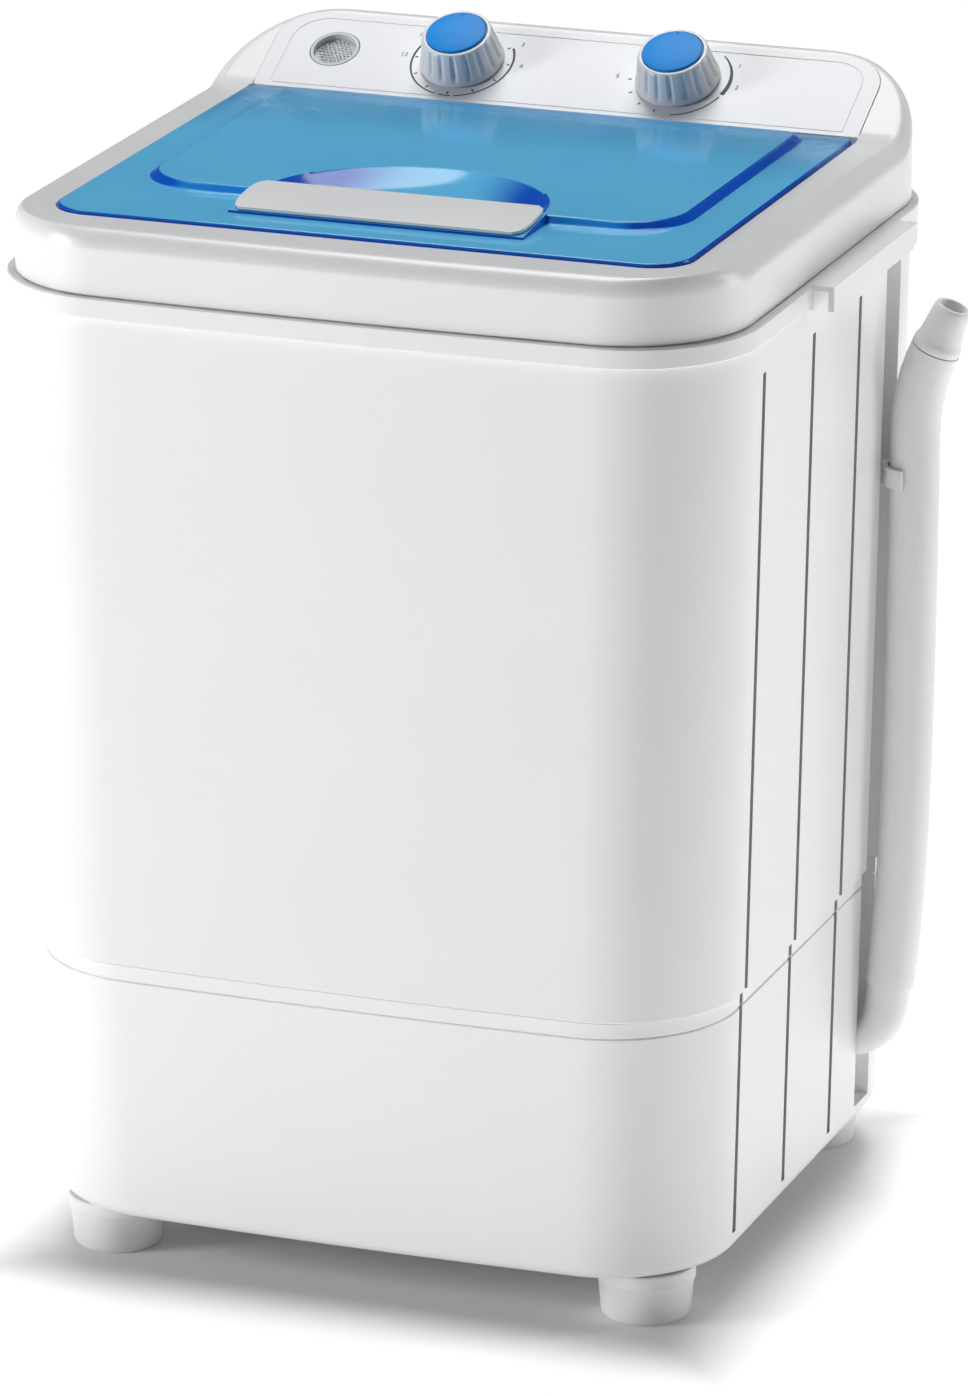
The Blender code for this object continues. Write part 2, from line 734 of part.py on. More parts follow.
for x, label in ((-KNOB_X, "wash"), (KNOB_X, "spin")):
    boolean(panel, helper(on_panel(rod("knob_hole_" + label, 5.0, (-8, 8), steps=16), x, KNOB_Y)))
boolean(panel, helper(on_panel(rod("inlet_hole", 13.4, (-8, 8), steps=24), INLET_X, INLET_Y)))

# ---- Water inlet: cup in the panel and a spout forward into the mouth
NORMAL = Vector((0, -math.sin(PANEL_SLOPE), math.cos(PANEL_SLOPE)))
inlet_top = Vector((INLET_X, INLET_Y, deck_height(INLET_Y)))
inlet_path = bend(
    inlet_top + NORMAL * 0.6, inlet_top - NORMAL * 38.0, (INLET_X, 114.5, 529.0), 11.0, 6
)
inlet_cup = keep(pipe("water_inlet_cup", inlet_path, 9.6, 3), (0.75, 0.76, 0.77), 0.5)
mouth_ring = turned("inlet_mouth", [(0.0, 0.6), (13.0, 0.6), (13.0, -8.0), (9.0, -10.0), (0.0, -10.0)], 24)
on_panel(mouth_ring, INLET_X, INLET_Y)
boolean(inlet_cup, helper(mouth_ring), "UNION")
bore_path = [inlet_top + NORMAL * 6] + inlet_path[1:-1] + [Vector((INLET_X, 106, 529.0))]
boolean(inlet_cup, helper(pipe("inlet_bore", bore_path, 7.8, 3)))
cup_bore = turned("cup_bore", [(0.0, 4.0), (11.4, 4.0), (11.4, -6.8), (0.0, -8.0)], 24)
boolean(inlet_cup, helper(on_panel(cup_bore, INLET_X, INLET_Y)))

# ---- Knobs, caps, timer shafts and timer bodies
for x, label in ((-KNOB_X, "wash"), (KNOB_X, "spin")):
    knob = turned(
        label + "_timer_knob",
        [
            (0.0, 17.6), (14.6, 17.6), (16.6, 19.4), (17.6, 19.0), (18.4, 16.0), (20.4, 6.0),
            (23.2, 3.6), (23.6, 1.0), (20.6, 1.0), (19.0, 4.0), (7.0, 4.0), (7.0, 0.9), (3.3, 0.9),
            (3.3, 14.0), (0.0, 14.0),
        ],
        24,
    )
    keep(on_panel(knob, x, KNOB_Y), WHITE, 0.3)
    cap = turned(
        label + "_knob_cap",
        [(0.0, 21.6), (9.0, 21.2), (15.2, 19.8), (15.4, 19.2), (14.0, 17.9), (0.0, 17.9)],
        24,
    )
    keep(on_panel(cap, x, KNOB_Y), (0.02, 0.36, 0.88), 0.25)
    shaft = turned(label + "_timer_shaft", [(0.0, 13.6), (3.0, 13.6), (3.0, -7.6), (0.0, -7.6)], 16)
    keep(on_panel(shaft, x, KNOB_Y), (0.8, 0.8, 0.78), 0.5)
    body = box(label + "_timer_body", (-20, 20), (-18, 17), (-29, -3.2))
    boolean(body, helper(on_panel(rod(label + "_body_bore", 3.3, (-8.0, 4), steps=16), x, KNOB_Y)))
    keep(on_panel(body, x, KNOB_Y), (0.5, 0.52, 0.5), 0.5)

# ---- Lid: rim, raised middle, wedge under the grip and half-round finger scoop
lid = keep(
    loft(
        "lid",
        [
            (rounded(LID_HALF, LID_FRONT, LID_REAR, 21, 5), 543.8),
            (rounded(LID_HALF, LID_FRONT, LID_REAR, 21, 5), LID_TOP - 0.8),
            (rounded(LID_HALF - 0.8, LID_FRONT + 0.8, LID_REAR - 0.8, 20.2, 4.2), LID_TOP),
            (rounded(DOME_HALF, DOME_FRONT, LID_REAR - 8, 34, 8), LID_TOP + 0.05),
            (rounded(DOME_HALF - 5, DOME_FRONT + 5, LID_REAR - 12, 30, 6), LID_TOP + DOME_RISE),
        ],
    ),
    (0.1, 0.45, 0.85),
    0.15,
)
wedge_points = []
for x in (-HANDLE_HALF, HANDLE_HALF):
    wedge_points += [
        (x, HANDLE_FRONT, LID_TOP - 1.0), (x, HANDLE_REAR, LID_TOP - 1.0),
        (x, HANDLE_REAR, LID_TOP + 9.0), (x, HANDLE_FRONT, LID_TOP + 1.2),
    ]
WEDGE_FACES = [(0, 1, 2, 3), (7, 6, 5, 4), (0, 4, 5, 1), (1, 5, 6, 2), (2, 6, 7, 3), (3, 7, 4, 0)]
wedge = object_of("wedge", wedge_points, [tuple(reversed(face)) for face in WEDGE_FACES])
boolean(lid, helper(wedge), "UNION")
lid_under = loft(
    "lid_under",
    [
        (rounded(LID_HALF - 2.2, LID_FRONT + 2.2, LID_REAR - 2.2, 18.8, 2.8), 530),
        (rounded(LID_HALF - 2.2, LID_FRONT + 2.2, LID_REAR - 2.2, 18.8, 2.8), LID_TOP - LID_WALL),
        (rounded(DOME_HALF - 1, DOME_FRONT + 1, LID_REAR - 9, 33, 8), LID_TOP - LID_WALL + 0.05),
        (rounded(DOME_HALF - 6, DOME_FRONT + 6, LID_REAR - 13, 29, 6), LID_TOP - LID_WALL + DOME_RISE),
    ],
)
boolean(lid, helper(lid_under))
hollow_points = []
for x in (-HANDLE_HALF + 2.2, HANDLE_HALF - 2.2):
    hollow_points += [
        (x, HANDLE_FRONT + 4.0, LID_TOP - 6.0), (x, HANDLE_REAR - 2.4, LID_TOP - 6.0),
        (x, HANDLE_REAR - 2.4, LID_TOP + 6.2), (x, HANDLE_FRONT + 4.0, LID_TOP - 0.2),
    ]
wedge_hollow = object_of("wedge_hollow", hollow_points, [tuple(reversed(face)) for face in WEDGE_FACES])
boolean(lid, helper(wedge_hollow))
hinge_notches = boxes(
    "hinge_notches",
    [((side * HINGE_X, LID_REAR, 540.0), (66.0, 9.0, 2 * (LID_TOP - LID_WALL - 540.0)), 0.0) for side in (-1, 1)],
)
boolean(lid, helper(hinge_notches))
SCOOP_DEPTH = 11.0


def scoop(name, grow, z_floor, z_rim, front):
    """Half a shallow bowl behind the grip, its floor falling towards the grip."""
    low, high, steps = [], [], 12
    for i in range(steps + 1):
        a = math.pi * i / steps
        low_x = math.cos(a) * (SCOOP_R * 0.62 + grow)
        low.append((low_x, front + math.sin(a) * (SCOOP_R * 0.45 + grow), z_floor))
        high.append((math.cos(a) * (SCOOP_R + grow), front + math.sin(a) * (SCOOP_R + grow), z_rim))
    count = steps + 1
    faces = [tuple(reversed(range(count))), tuple(range(count, 2 * count))]
    faces += [(i, i + 1, count + i + 1, count + i) for i in range(steps)]
    faces.append((steps, 0, count, 2 * count - 1))
    return helper(object_of(name, low + high, faces))


RIM = LID_TOP + DOME_RISE
boolean(lid, scoop("scoop_shell", 2.2, RIM - SCOOP_DEPTH - 2.2, RIM - 0.6, HANDLE_REAR - 2.2), "UNION")
boolean(lid, scoop("scoop_inside", 0.0, RIM - SCOOP_DEPTH, RIM + 1.2, HANDLE_REAR + 0.01))

# ---- White grip strip laid on the wedge
strip = []
rise = (9.0 - 1.2) / (HANDLE_REAR - HANDLE_FRONT)
strip_front, strip_rear = HANDLE_FRONT + 0.6, HANDLE_REAR + 7.0
strip_low, strip_high = LID_TOP + 1.2 + 0.6 * rise, LID_TOP + 9.0 + 7.0 * rise
for x in (-HANDLE_HALF + 0.6, HANDLE_HALF - 0.6):
    strip += [
        (x, strip_front, strip_low + 0.35), (x, strip_rear, strip_high + 0.35),
        (x, strip_rear, strip_high + 2.6), (x, strip_front, strip_low + 2.6),
    ]
grip = object_of("lid_handle", strip, [tuple(reversed(face)) for face in WEDGE_FACES])
keep(grip, (0.85, 0.85, 0.88), 0.4)
soften = grip.modifiers.new("edges", "BEVEL")
soften.width = 0.7 * MM
soften.segments = 1

# ---- Hinge blocks under the lid's rear edge, and their pins
for side, label in ((-1, "left"), (1, "right")):
    x = side * HINGE_X
    block_top = LID_TOP - LID_WALL - 0.3
    block = box("lid_hinge_" + label, (x - 26, x + 26), (109.0, LID_REAR - 0.2), (535.5, block_top))
    gaps = [((x - 19.5 + 7.8 * i, 107.0, 538.0), (3.2, 8.0, 12.0), 0.0) for i in range(6)]
    fins = boxes("hinge_gaps_" + label, gaps)
    boolean(block, helper(fins))
    bore = crosswise(rod("hinge_bore_" + label, 2.2, (-34, 34), steps=12), x, HINGE_Y, HINGE_Z)
    boolean(block, helper(bore))
    keep(block, (0.03, 0.25, 0.75), 0.3)
    pin = turned("hinge_pin_" + label, [(0.0, 31.0), (1.8, 31.0), (1.8, -31.0), (0.0, -31.0)], 12)
    keep(crosswise(pin, x, HINGE_Y, HINGE_Z), (0.7, 0.7, 0.72), 0.3, 1.0)


def on_axis(obj):
    obj.location = Vector((0, TUB_Y, 0)) * MM
    return obj


# ---- Wash tub hung under the cover
tub = turned(
    "wash_tub",
    [
        (15.4, TUB_BOTTOM), (15.4, TUB_BOTTOM + 5.0), (20.0, TUB_BOTTOM + 5.0), (24.0, TUB_BOTTOM + 2.6),
        (TUB_R_BOTTOM - 12, TUB_BOTTOM + 2.6), (TUB_R_BOTTOM - 5, TUB_BOTTOM + 5.0),
        (TUB_R_BOTTOM - 2.4, TUB_BOTTOM + 13), (TUB_R_TOP - 2.4, TUB_TOP - 4.0), (TUB_R_TOP, TUB_TOP),
        (172.0, TUB_TOP), (172.0, TUB_TOP - 6.0), (169.8, TUB_TOP - 6.0), (169.8, TUB_TOP - 2.4),
        (TUB_R_TOP + 1.2, TUB_TOP - 2.6), (TUB_R_TOP, TUB_TOP - 5.0), (TUB_R_BOTTOM, TUB_BOTTOM + 13),
        (TUB_R_BOTTOM - 3, TUB_BOTTOM + 4), (TUB_R_BOTTOM - 11, TUB_BOTTOM),
    ],
    44,
    ring=True,
)
keep(on_axis(tub), (0.85, 0.87, 0.9), 0.35)
drain_place = (DRAIN_X, DRAIN_Y - TUB_Y)
drain_hole = rod("drain_hole", PIPE_R + 0.4, (TUB_BOTTOM - 20, TUB_BOTTOM + 20), drain_place, 20)
on_axis(drain_hole)
boolean(tub, helper(drain_hole))

# ---- Drain elbow from the tub, through the side recess, to the upturned spout
down = Vector((DRAIN_X, DRAIN_Y, TUB_BOTTOM + 2.0))
low = Vector((DRAIN_X, DRAIN_Y, SPOUT_BEND[2]))
turn_out = Vector((150.0, SPOUT_BEND[1], SPOUT_BEND[2]))
drain_path = bend(down, low, turn_out, 20.0, 5)[:-1] + bend(low, turn_out, SPOUT_BEND, 20.0, 3)[1:-1]
drain_path += bend(turn_out, SPOUT_BEND, SPOUT_END, 20.0, 6)[1:]
elbow = keep(pipe("drain_elbow", drain_path, PIPE_R, 3), WHITE, 0.4)
spout_way = (Vector(SPOUT_END) - Vector(SPOUT_BEND)).normalized()
bore_path = [down + Vector((0, 0, 8))] + drain_path[1:-1] + [Vector(SPOUT_END) + spout_way * 8]
boolean(elbow, helper(pipe("drain_bore", bore_path, PIPE_R - 2.2, 3)))


# ---- Drain hose hung up the right side, with its nozzle and clip
def hose_x(z):
    """The hose's middle leaves the spout leaning out and comes upright."""
    reach = HOSE_STRAIGHT_X - SPOUT_END[0]
    return SPOUT_END[0] + reach * (1 - math.exp(-(z - SPOUT_END[2]) / 73.0))


hose_points = [Vector(SPOUT_END) + spout_way * 0.3]
for i in range(1, 13):
    z = SPOUT_END[2] + (HOSE_BEND_Z - SPOUT_END[2]) * i / 12
    hose_points.append(Vector((hose_x(z), SPOUT_END[1], z)))
for i in range(1, 6):
    a = HOSE_LEAN * i / 5
    x = hose_x(HOSE_BEND_Z) + HOSE_BEND_R * (1 - math.cos(a))
    hose_points.append(Vector((x, SPOUT_END[1], HOSE_BEND_Z + HOSE_BEND_R * math.sin(a))))
hose = keep(pipe("drain_hose", hose_points, HOSE_R, 3), (0.75, 0.76, 0.77), 0.45)
end = hose_points[-1]
lean = Matrix.Rotation(HOSE_LEAN * 0.9, 4, "Y")
nozzle = turned(
    "hose_nozzle",
    [(0.0, 30.0), (8.2, 30.0), (9.2, 28.0), (10.4, 8.0), (12.6, 6.0), (12.8, 0.3), (0.0, 0.3)],
    20,
)
nozzle.matrix_world = Matrix.Translation(end * MM) @ lean
keep(nozzle, (0.75, 0.76, 0.77), 0.45)
nozzle_bore = turned("nozzle_bore", [(0.0, 38.0), (6.4, 38.0), (8.0, 5.0), (0.0, 5.0)], 16)
nozzle_bore.matrix_world = nozzle.matrix_world.copy()
boolean(nozzle, helper(nozzle_bore))

clip_x = hose_x(CLIP_Z)
clip_y = SPOUT_END[1]
clip_span = (CLIP_Z - 5, CLIP_Z + 5)
clip = keep(rod("hose_clip", 16.4, clip_span, (clip_x, clip_y), 28), WHITE)
boolean(clip, helper(box("clip_front", (clip_x - 2.0, clip_x + 30), (60, 150), (CLIP_Z - 20, CLIP_Z + 20))))
clip_arm = box("clip_arm", (CHANNEL_X_CASING + 0.3, clip_x - 13.6), (clip_y - 4, clip_y + 4), clip_span)
boolean(clip, helper(clip_arm), "UNION")
boolean(clip, helper(rod("clip_bore", 13.9, (CLIP_Z - 20, CLIP_Z + 20), (clip_x, clip_y), 28)))

# ---- Pulsator on the shaft, with its screw
pulsator = turned(
    "pulsator",
    [
        (0.0, 214.0), (12.0, 213.0), (22.0, 207.0), (40.0, 200.0), (90.0, 196.0), (PULSATOR_R - 6, 198.0),
        (PULSATOR_R, 203.0), (PULSATOR_R, 200.0), (PULSATOR_R - 5, 194.0), (40.0, 192.5), (22.0, 198.0),
        (13.0, 198.0), (13.0, 190.0), (0.0, 190.0),
    ],
    36,
)
keep(on_axis(pulsator), (0.55, 0.7, 0.9), 0.35)
vane_places = []
for i in range(4):
    a = math.pi / 4 + i * math.pi / 2
    vane_places.append(((math.cos(a) * 66, math.sin(a) * 66, 201.5), (92.0, 9.0, 15.0), a))
vanes = on_axis(boxes("vanes", vane_places))
boolean(pulsator, helper(vanes), "UNION")
boolean(pulsator, helper(on_axis(rod("pulsator_bore", SHAFT_R + BORE_GAP, (180, 206.4), steps=20))))
boolean(pulsator, helper(on_axis(rod("pulsator_screw_hole", 2.9, (200, 230), steps=16))))
boolean(pulsator, helper(on_axis(rod("pulsator_screw_seat", 7.4, (210.0, 230), steps=20))))
pulsator_screw = turned(
    "pulsator_screw",
    [(0.0, 213.6), (4.5, 213.6), (7.0, 212.2), (7.0, 210.3), (2.4, 210.3), (2.4, 196.0), (0.0, 194.0)],
    18,
)
keep(on_axis(pulsator_screw), (0.75, 0.75, 0.77), 0.3, 1.0)
drive_shaft = turned(
    "drive_shaft", [(0.0, 206.0), (SHAFT_R, 206.0), (SHAFT_R, 39.0), (SHAFT_R - 1, 38.0), (0.0, 38.0)], 20
)
keep(on_axis(drive_shaft), (0.65, 0.65, 0.67), 0.25, 1.0)
boolean(drive_shaft, helper(on_axis(rod("shaft_thread", 2.7, (192, 220), steps=16))))

# ---- Spin basket that lifts off the pulsator
basket = turned(
    "spin_basket",
    [
        (9.0, BASKET_BOTTOM + 2.2), (BASKET_R_BOTTOM - 8, BASKET_BOTTOM + 2.2),
        (BASKET_R_BOTTOM - 2.2, BASKET_BOTTOM + 10), (BASKET_R_TOP - 2.2, BASKET_TOP - 8),
        (BASKET_R_TOP + 1.0, BASKET_TOP - 2.2), (BASKET_R_TOP + 1.0, BASKET_TOP),
        (BASKET_R_TOP + 6.0, BASKET_TOP), (BASKET_R_TOP + 6.0, BASKET_TOP - 6.0),
        (BASKET_R_TOP + 2.8, BASKET_TOP - 6.0),
        (BASKET_R_TOP, BASKET_TOP - 9.0), (BASKET_R_BOTTOM, BASKET_BOTTOM + 10),
        (BASKET_R_BOTTOM - 7, BASKET_BOTTOM), (9.0, BASKET_BOTTOM),
    ],
    36,
    ring=True,
)
keep(on_axis(basket), (0.85, 0.87, 0.9), 0.35)
slot_places = []
for row in range(2):
    for i in range(9):
        a = math.pi / 9 * (2 * i + row % 2)
        slot_places.append(((math.cos(a) * 107, math.sin(a) * 107, 260.0 + 75 * row), (30.0, 3.6, 48.0), a))
boolean(basket, helper(on_axis(boxes("basket_slots", slot_places))))
floor_places = []
for i in range(8):
    a = math.pi / 4 * i
    floor_places.append(((math.cos(a) * 60, math.sin(a) * 60, BASKET_BOTTOM), (50.0, 4.0, 12.0), a))
boolean(basket, helper(on_axis(boxes("basket_floor_slots", floor_places))))

# ---- Shaft housing, bushings and seal
housing = turned(
    "shaft_housing",
    [
        (15.0, 188.0), (15.0, 150.0), (18.0, 147.4), (40.0, 146.6), (40.0, PLATE_TOP + 0.3),
        (16.4, PLATE_TOP + 0.3), (15.0, PLATE_TOP), (15.0, 100.0), (9.0, 100.0), (9.0, 188.0),
    ],
    24,
    ring=True,
)
keep(on_axis(housing), (0.6, 0.62, 0.64), 0.4, 1.0)
for label, z in (("upper_bushing", (168.0, 183.6)), ("lower_bushing", (101.0, 117.0))):
    ring_profile = [(8.7, z[1]), (8.7, z[0]), (SHAFT_R + BORE_GAP, z[0]), (SHAFT_R + BORE_GAP, z[1])]
    keep(on_axis(turned(label, ring_profile, 16, ring=True)), (0.55, 0.38, 0.2), 0.35, 1.0)
seal_bore = SHAFT_R + BORE_GAP
seal_profile = [(8.7, 187.8), (8.7, 184.0), (seal_bore, 184.0), (seal_bore, 187.0), (7.0, 187.8)]
keep(on_axis(turned("shaft_seal", seal_profile, 16, ring=True)), (0.05, 0.05, 0.05), 0.7)


# ---- Pulleys, belt and nut
def pulley_profile(outer, groove_in, bore, web):
    mid = (PULLEY_BOTTOM + PULLEY_TOP) / 2
    return [
        (bore, PULLEY_TOP), (outer - web, PULLEY_TOP), (outer - web, mid + 5.6),
        (outer, mid + 5.6), (outer, mid + 4.6), (groove_in, mid + 4.5), (groove_in, mid - 4.5),
        (outer, mid - 4.6), (outer, mid - 5.6), (outer - web, mid - 5.6),
        (outer - web, PULLEY_BOTTOM), (bore, PULLEY_BOTTOM),
    ]


driven_profile = pulley_profile(PULLEY_R, BELT_IN_DRIVEN - 0.8, SHAFT_R + BORE_GAP, 51.0)
driven = turned("driven_pulley", driven_profile, 32, ring=True)
keep(on_axis(driven), (0.25, 0.26, 0.27), 0.5)
windows = []
for i in range(5):
    a = 2 * math.pi / 5 * i
    windows.append(((math.cos(a) * 36, math.sin(a) * 36, 54.0), (24.0, 20.0, 30.0), a))
boolean(driven, helper(on_axis(boxes("pulley_windows", windows))))
motor_profile = pulley_profile(MOTOR_PULLEY_R, BELT_IN_MOTOR - 0.8, 4.3, 10.0)
motor_pulley = turned("motor_pulley", motor_profile, 20, ring=True)
motor_pulley.location = Vector((MOTOR_X, MOTOR_Y, 0)) * MM
keep(motor_pulley, (0.6, 0.6, 0.62), 0.35, 1.0)
nut = rod("pulley_nut", 9.0, (40.0, 45.7), steps=6)
boolean(nut, helper(on_axis(rod("nut_bore", SHAFT_R + BORE_GAP, (30, 60), steps=20))))
keep(on_axis(nut), (0.6, 0.6, 0.62), 0.35, 1.0)


def loop_around(driven_r, motor_r, steps=20):
    """The outline of a belt side around both pulleys."""
    a_centre, b_centre = Vector((0.0, TUB_Y)), Vector((MOTOR_X, MOTOR_Y))
    apart = b_centre - a_centre
    heading = math.atan2(apart.y, apart.x)
    spread = math.acos((driven_r - motor_r) / apart.length)
    points = []
    for i in range(steps + 1):
        a = heading + spread + (2 * math.pi - 2 * spread) * i / steps
        points.append((a_centre.x + driven_r * math.cos(a), a_centre.y + driven_r * math.sin(a)))
    for i in range(steps // 2 + 1):
        a = heading - spread + 2 * spread * i / (steps // 2)
        points.append((b_centre.x + motor_r * math.cos(a), b_centre.y + motor_r * math.sin(a)))
    return points


belt_mid = (PULLEY_BOTTOM + PULLEY_TOP) / 2
belt = flat(
    "drive_belt",
    [
        loop_around(BELT_IN_DRIVEN + BELT_DEEP, BELT_IN_MOTOR + BELT_DEEP, 28),
        loop_around(BELT_IN_DRIVEN, BELT_IN_MOTOR, 28),
    ],
    (belt_mid - 4.0, belt_mid + 4.0),
)
keep(belt, (0.04, 0.04, 0.04), 0.7)


# ---- Motor: rotor with shaft, stator and two end caps
def at_motor(obj):
    obj.location = Vector((MOTOR_X, MOTOR_Y, 0)) * MM
    return obj


rotor = turned(
    "motor_shaft",
    [
        (0.0, 133.0), (4.0, 133.0), (4.0, 122.0), (26.5, 122.0), (26.5, 86.0), (4.0, 86.0),
        (4.0, 43.0), (0.0, 43.0),
    ],
    20,
)
keep(at_motor(rotor), (0.55, 0.56, 0.58), 0.35, 1.0)
stator = turned("motor_stator", [(MOTOR_R, 123.7), (MOTOR_R, 84.3), (27.2, 84.3), (27.2, 123.7)], 28, ring=True)
keep(at_motor(stator), (0.35, 0.36, 0.38), 0.45, 1.0)
top_cap = turned(
    "motor_top_cap",
    [
        (MOTOR_R + 1, 126.0), (MOTOR_R + 1, 124.0), (MOTOR_R - 4, 124.0), (MOTOR_R - 4, 126.0),
        (34.0, 132.6), (12.0, 133.4), (4.3, 128.0), (4.3, 136.6), (36.0, 136.6), (MOTOR_R - 2, 131.0),
    ],
    24,
    ring=True,
)
keep(at_motor(top_cap), (0.7, 0.71, 0.72), 0.4, 1.0)
for i in range(3):
    a = math.radians(30 + 120 * i)
    place = (30 * math.cos(a), 30 * math.sin(a))
    boss = rod("cap_boss_%d" % (i + 1), 5.0, (134.5, PLATE_BOTTOM - 0.3), place, 12)
    boolean(top_cap, helper(at_motor(boss)), "UNION")
bottom_cap = turned(
    "motor_bottom_cap",
    [
        (MOTOR_R + 1, 84.0), (MOTOR_R + 1, 82.0), (MOTOR_R - 2, 77.0), (36.0, 71.4), (4.3, 71.4),
        (4.3, 80.0), (12.0, 74.6), (34.0, 75.4), (MOTOR_R - 4, 82.0), (MOTOR_R - 4, 84.0),
    ],
    24,
    ring=True,
)
keep(at_motor(bottom_cap), (0.7, 0.71, 0.72), 0.4, 1.0)

# ---- Drive plate on the four posts, its screws, and the capacitor
drive_plate = box("drive_plate", (-160, 160), (-106, 51), (PLATE_BOTTOM, PLATE_TOP))
keep(drive_plate, (0.6, 0.61, 0.62), 0.4, 1.0)
boolean(drive_plate, helper(on_axis(rod("housing_hole", 15.6, (120, 160), steps=28))))
for i, (x, y) in enumerate(POSTS):
    boolean(drive_plate, helper(rod("plate_hole_%d" % (i + 1), 2.4, (120, 160), (x, y), 12)))
    screw = turned(
        "drive_plate_screw_%d" % (i + 1),
        [(0.0, 3.6), (3.0, 3.6), (4.4, 2.6), (4.4, 0.3), (2.0, 0.3), (2.0, -18.0), (0.0, -19.5)],
        14,
    )
    screw.location = Vector((x, y, PLATE_TOP)) * MM
    keep(screw, (0.6, 0.6, 0.62), 0.3, 1.0)
capacitor = turned(
    "run_capacitor",
    [
        (0.0, 139.7), (15.6, 139.7), (17.0, 138.3), (17.0, 84.0), (15.0, 82.0), (4.0, 82.0),
        (4.0, 78.0), (0.0, 78.0),
    ],
    20,
)
capacitor.location = Vector((92.0, -60.0, 0)) * MM
keep(capacitor, (0.8, 0.8, 0.8), 0.4)

for obj in PARTS.objects:
    if obj.type == "MESH" and not any(step.type == "SCREW" for step in obj.modifiers):
        for polygon in obj.data.polygons:
            polygon.use_smooth = False
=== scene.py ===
"""Portable single-tub washer with its lid, timer knobs, spin basket and drain hose.

Lengths in each section are millimetres unless a name says otherwise. X is to the
right, -Y is the front, +Z is up, and the feet stand on z = 0.
"""
import math

import bmesh
import bpy
from mathutils import Matrix, Vector


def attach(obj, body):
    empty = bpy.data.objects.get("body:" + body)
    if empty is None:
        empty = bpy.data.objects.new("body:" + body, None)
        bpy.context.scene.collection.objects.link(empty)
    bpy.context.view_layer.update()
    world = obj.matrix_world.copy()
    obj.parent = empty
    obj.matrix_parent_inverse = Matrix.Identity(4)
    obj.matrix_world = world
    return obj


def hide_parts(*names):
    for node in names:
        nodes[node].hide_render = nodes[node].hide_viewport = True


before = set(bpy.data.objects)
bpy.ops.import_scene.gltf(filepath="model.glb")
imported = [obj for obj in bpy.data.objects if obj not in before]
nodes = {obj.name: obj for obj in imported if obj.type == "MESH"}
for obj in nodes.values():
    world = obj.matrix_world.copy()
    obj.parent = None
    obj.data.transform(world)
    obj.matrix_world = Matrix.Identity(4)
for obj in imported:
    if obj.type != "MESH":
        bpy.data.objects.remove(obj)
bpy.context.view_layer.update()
scene = bpy.context.scene

# ---- Camera
# A long lens stands about 4.5 m in front of the machine, to its right and a little
# above it, with a small shift so that the uprights stay nearly upright.
camera_turn, camera_rise, camera_far = math.radians(20.39), math.radians(18.04), 4.514
view_wide, view_tall, view_focal, sensor = 968, 1396, 8828.0, 36
view_middle = (468.8, 744.5)
camera_data = bpy.data.cameras.new("studio_camera")
camera_data.lens = view_focal / view_tall * sensor
camera_data.shift_x = (view_wide / 2 - view_middle[0]) / view_tall
camera_data.shift_y = (view_middle[1] - view_tall / 2) / view_tall
camera_data.clip_end = 60.0
camera = bpy.data.objects.new("studio_camera", camera_data)
away = Vector(
    (
        math.sin(camera_turn) * math.cos(camera_rise),
        -math.cos(camera_turn) * math.cos(camera_rise),
        math.sin(camera_rise),
    )
)
camera.location = Vector((0, 0, 0.2424)) + away * camera_far
camera.rotation_euler = away.to_track_quat("Z", "Y").to_euler()
scene.collection.objects.link(camera)
scene.camera = camera


# ---- Drain hose, spout, nozzle and clip
# The hose is soft extruded polyethylene, pushed over the upturned end of the tub's
# drain elbow and held in a snap-in clip, with a stiffer moulded nozzle in its end.
MM = 0.001


def linear(hex_code, alpha=1.0):
    """An sRGB hex colour as the linear values that shaders take."""
    parts = [int(hex_code[i : i + 2], 16) / 255 for i in (1, 3, 5)]
    return tuple(c / 12.92 if c <= 0.04045 else ((c + 0.055) / 1.055) ** 2.4 for c in parts) + (alpha,)


def node(material, kind, settings=(), values=(), links=()):
    """Adds a shader node with its settings, socket values and links from other nodes' outputs."""
    made = material.node_tree.nodes.new(kind)
    for key, value in dict(settings).items():
        setattr(made, key, value)
    for key, value in dict(values).items():
        made.inputs[key].default_value = value
    for key, output in dict(links).items():
        material.node_tree.links.new(output, made.inputs[key])
    return made


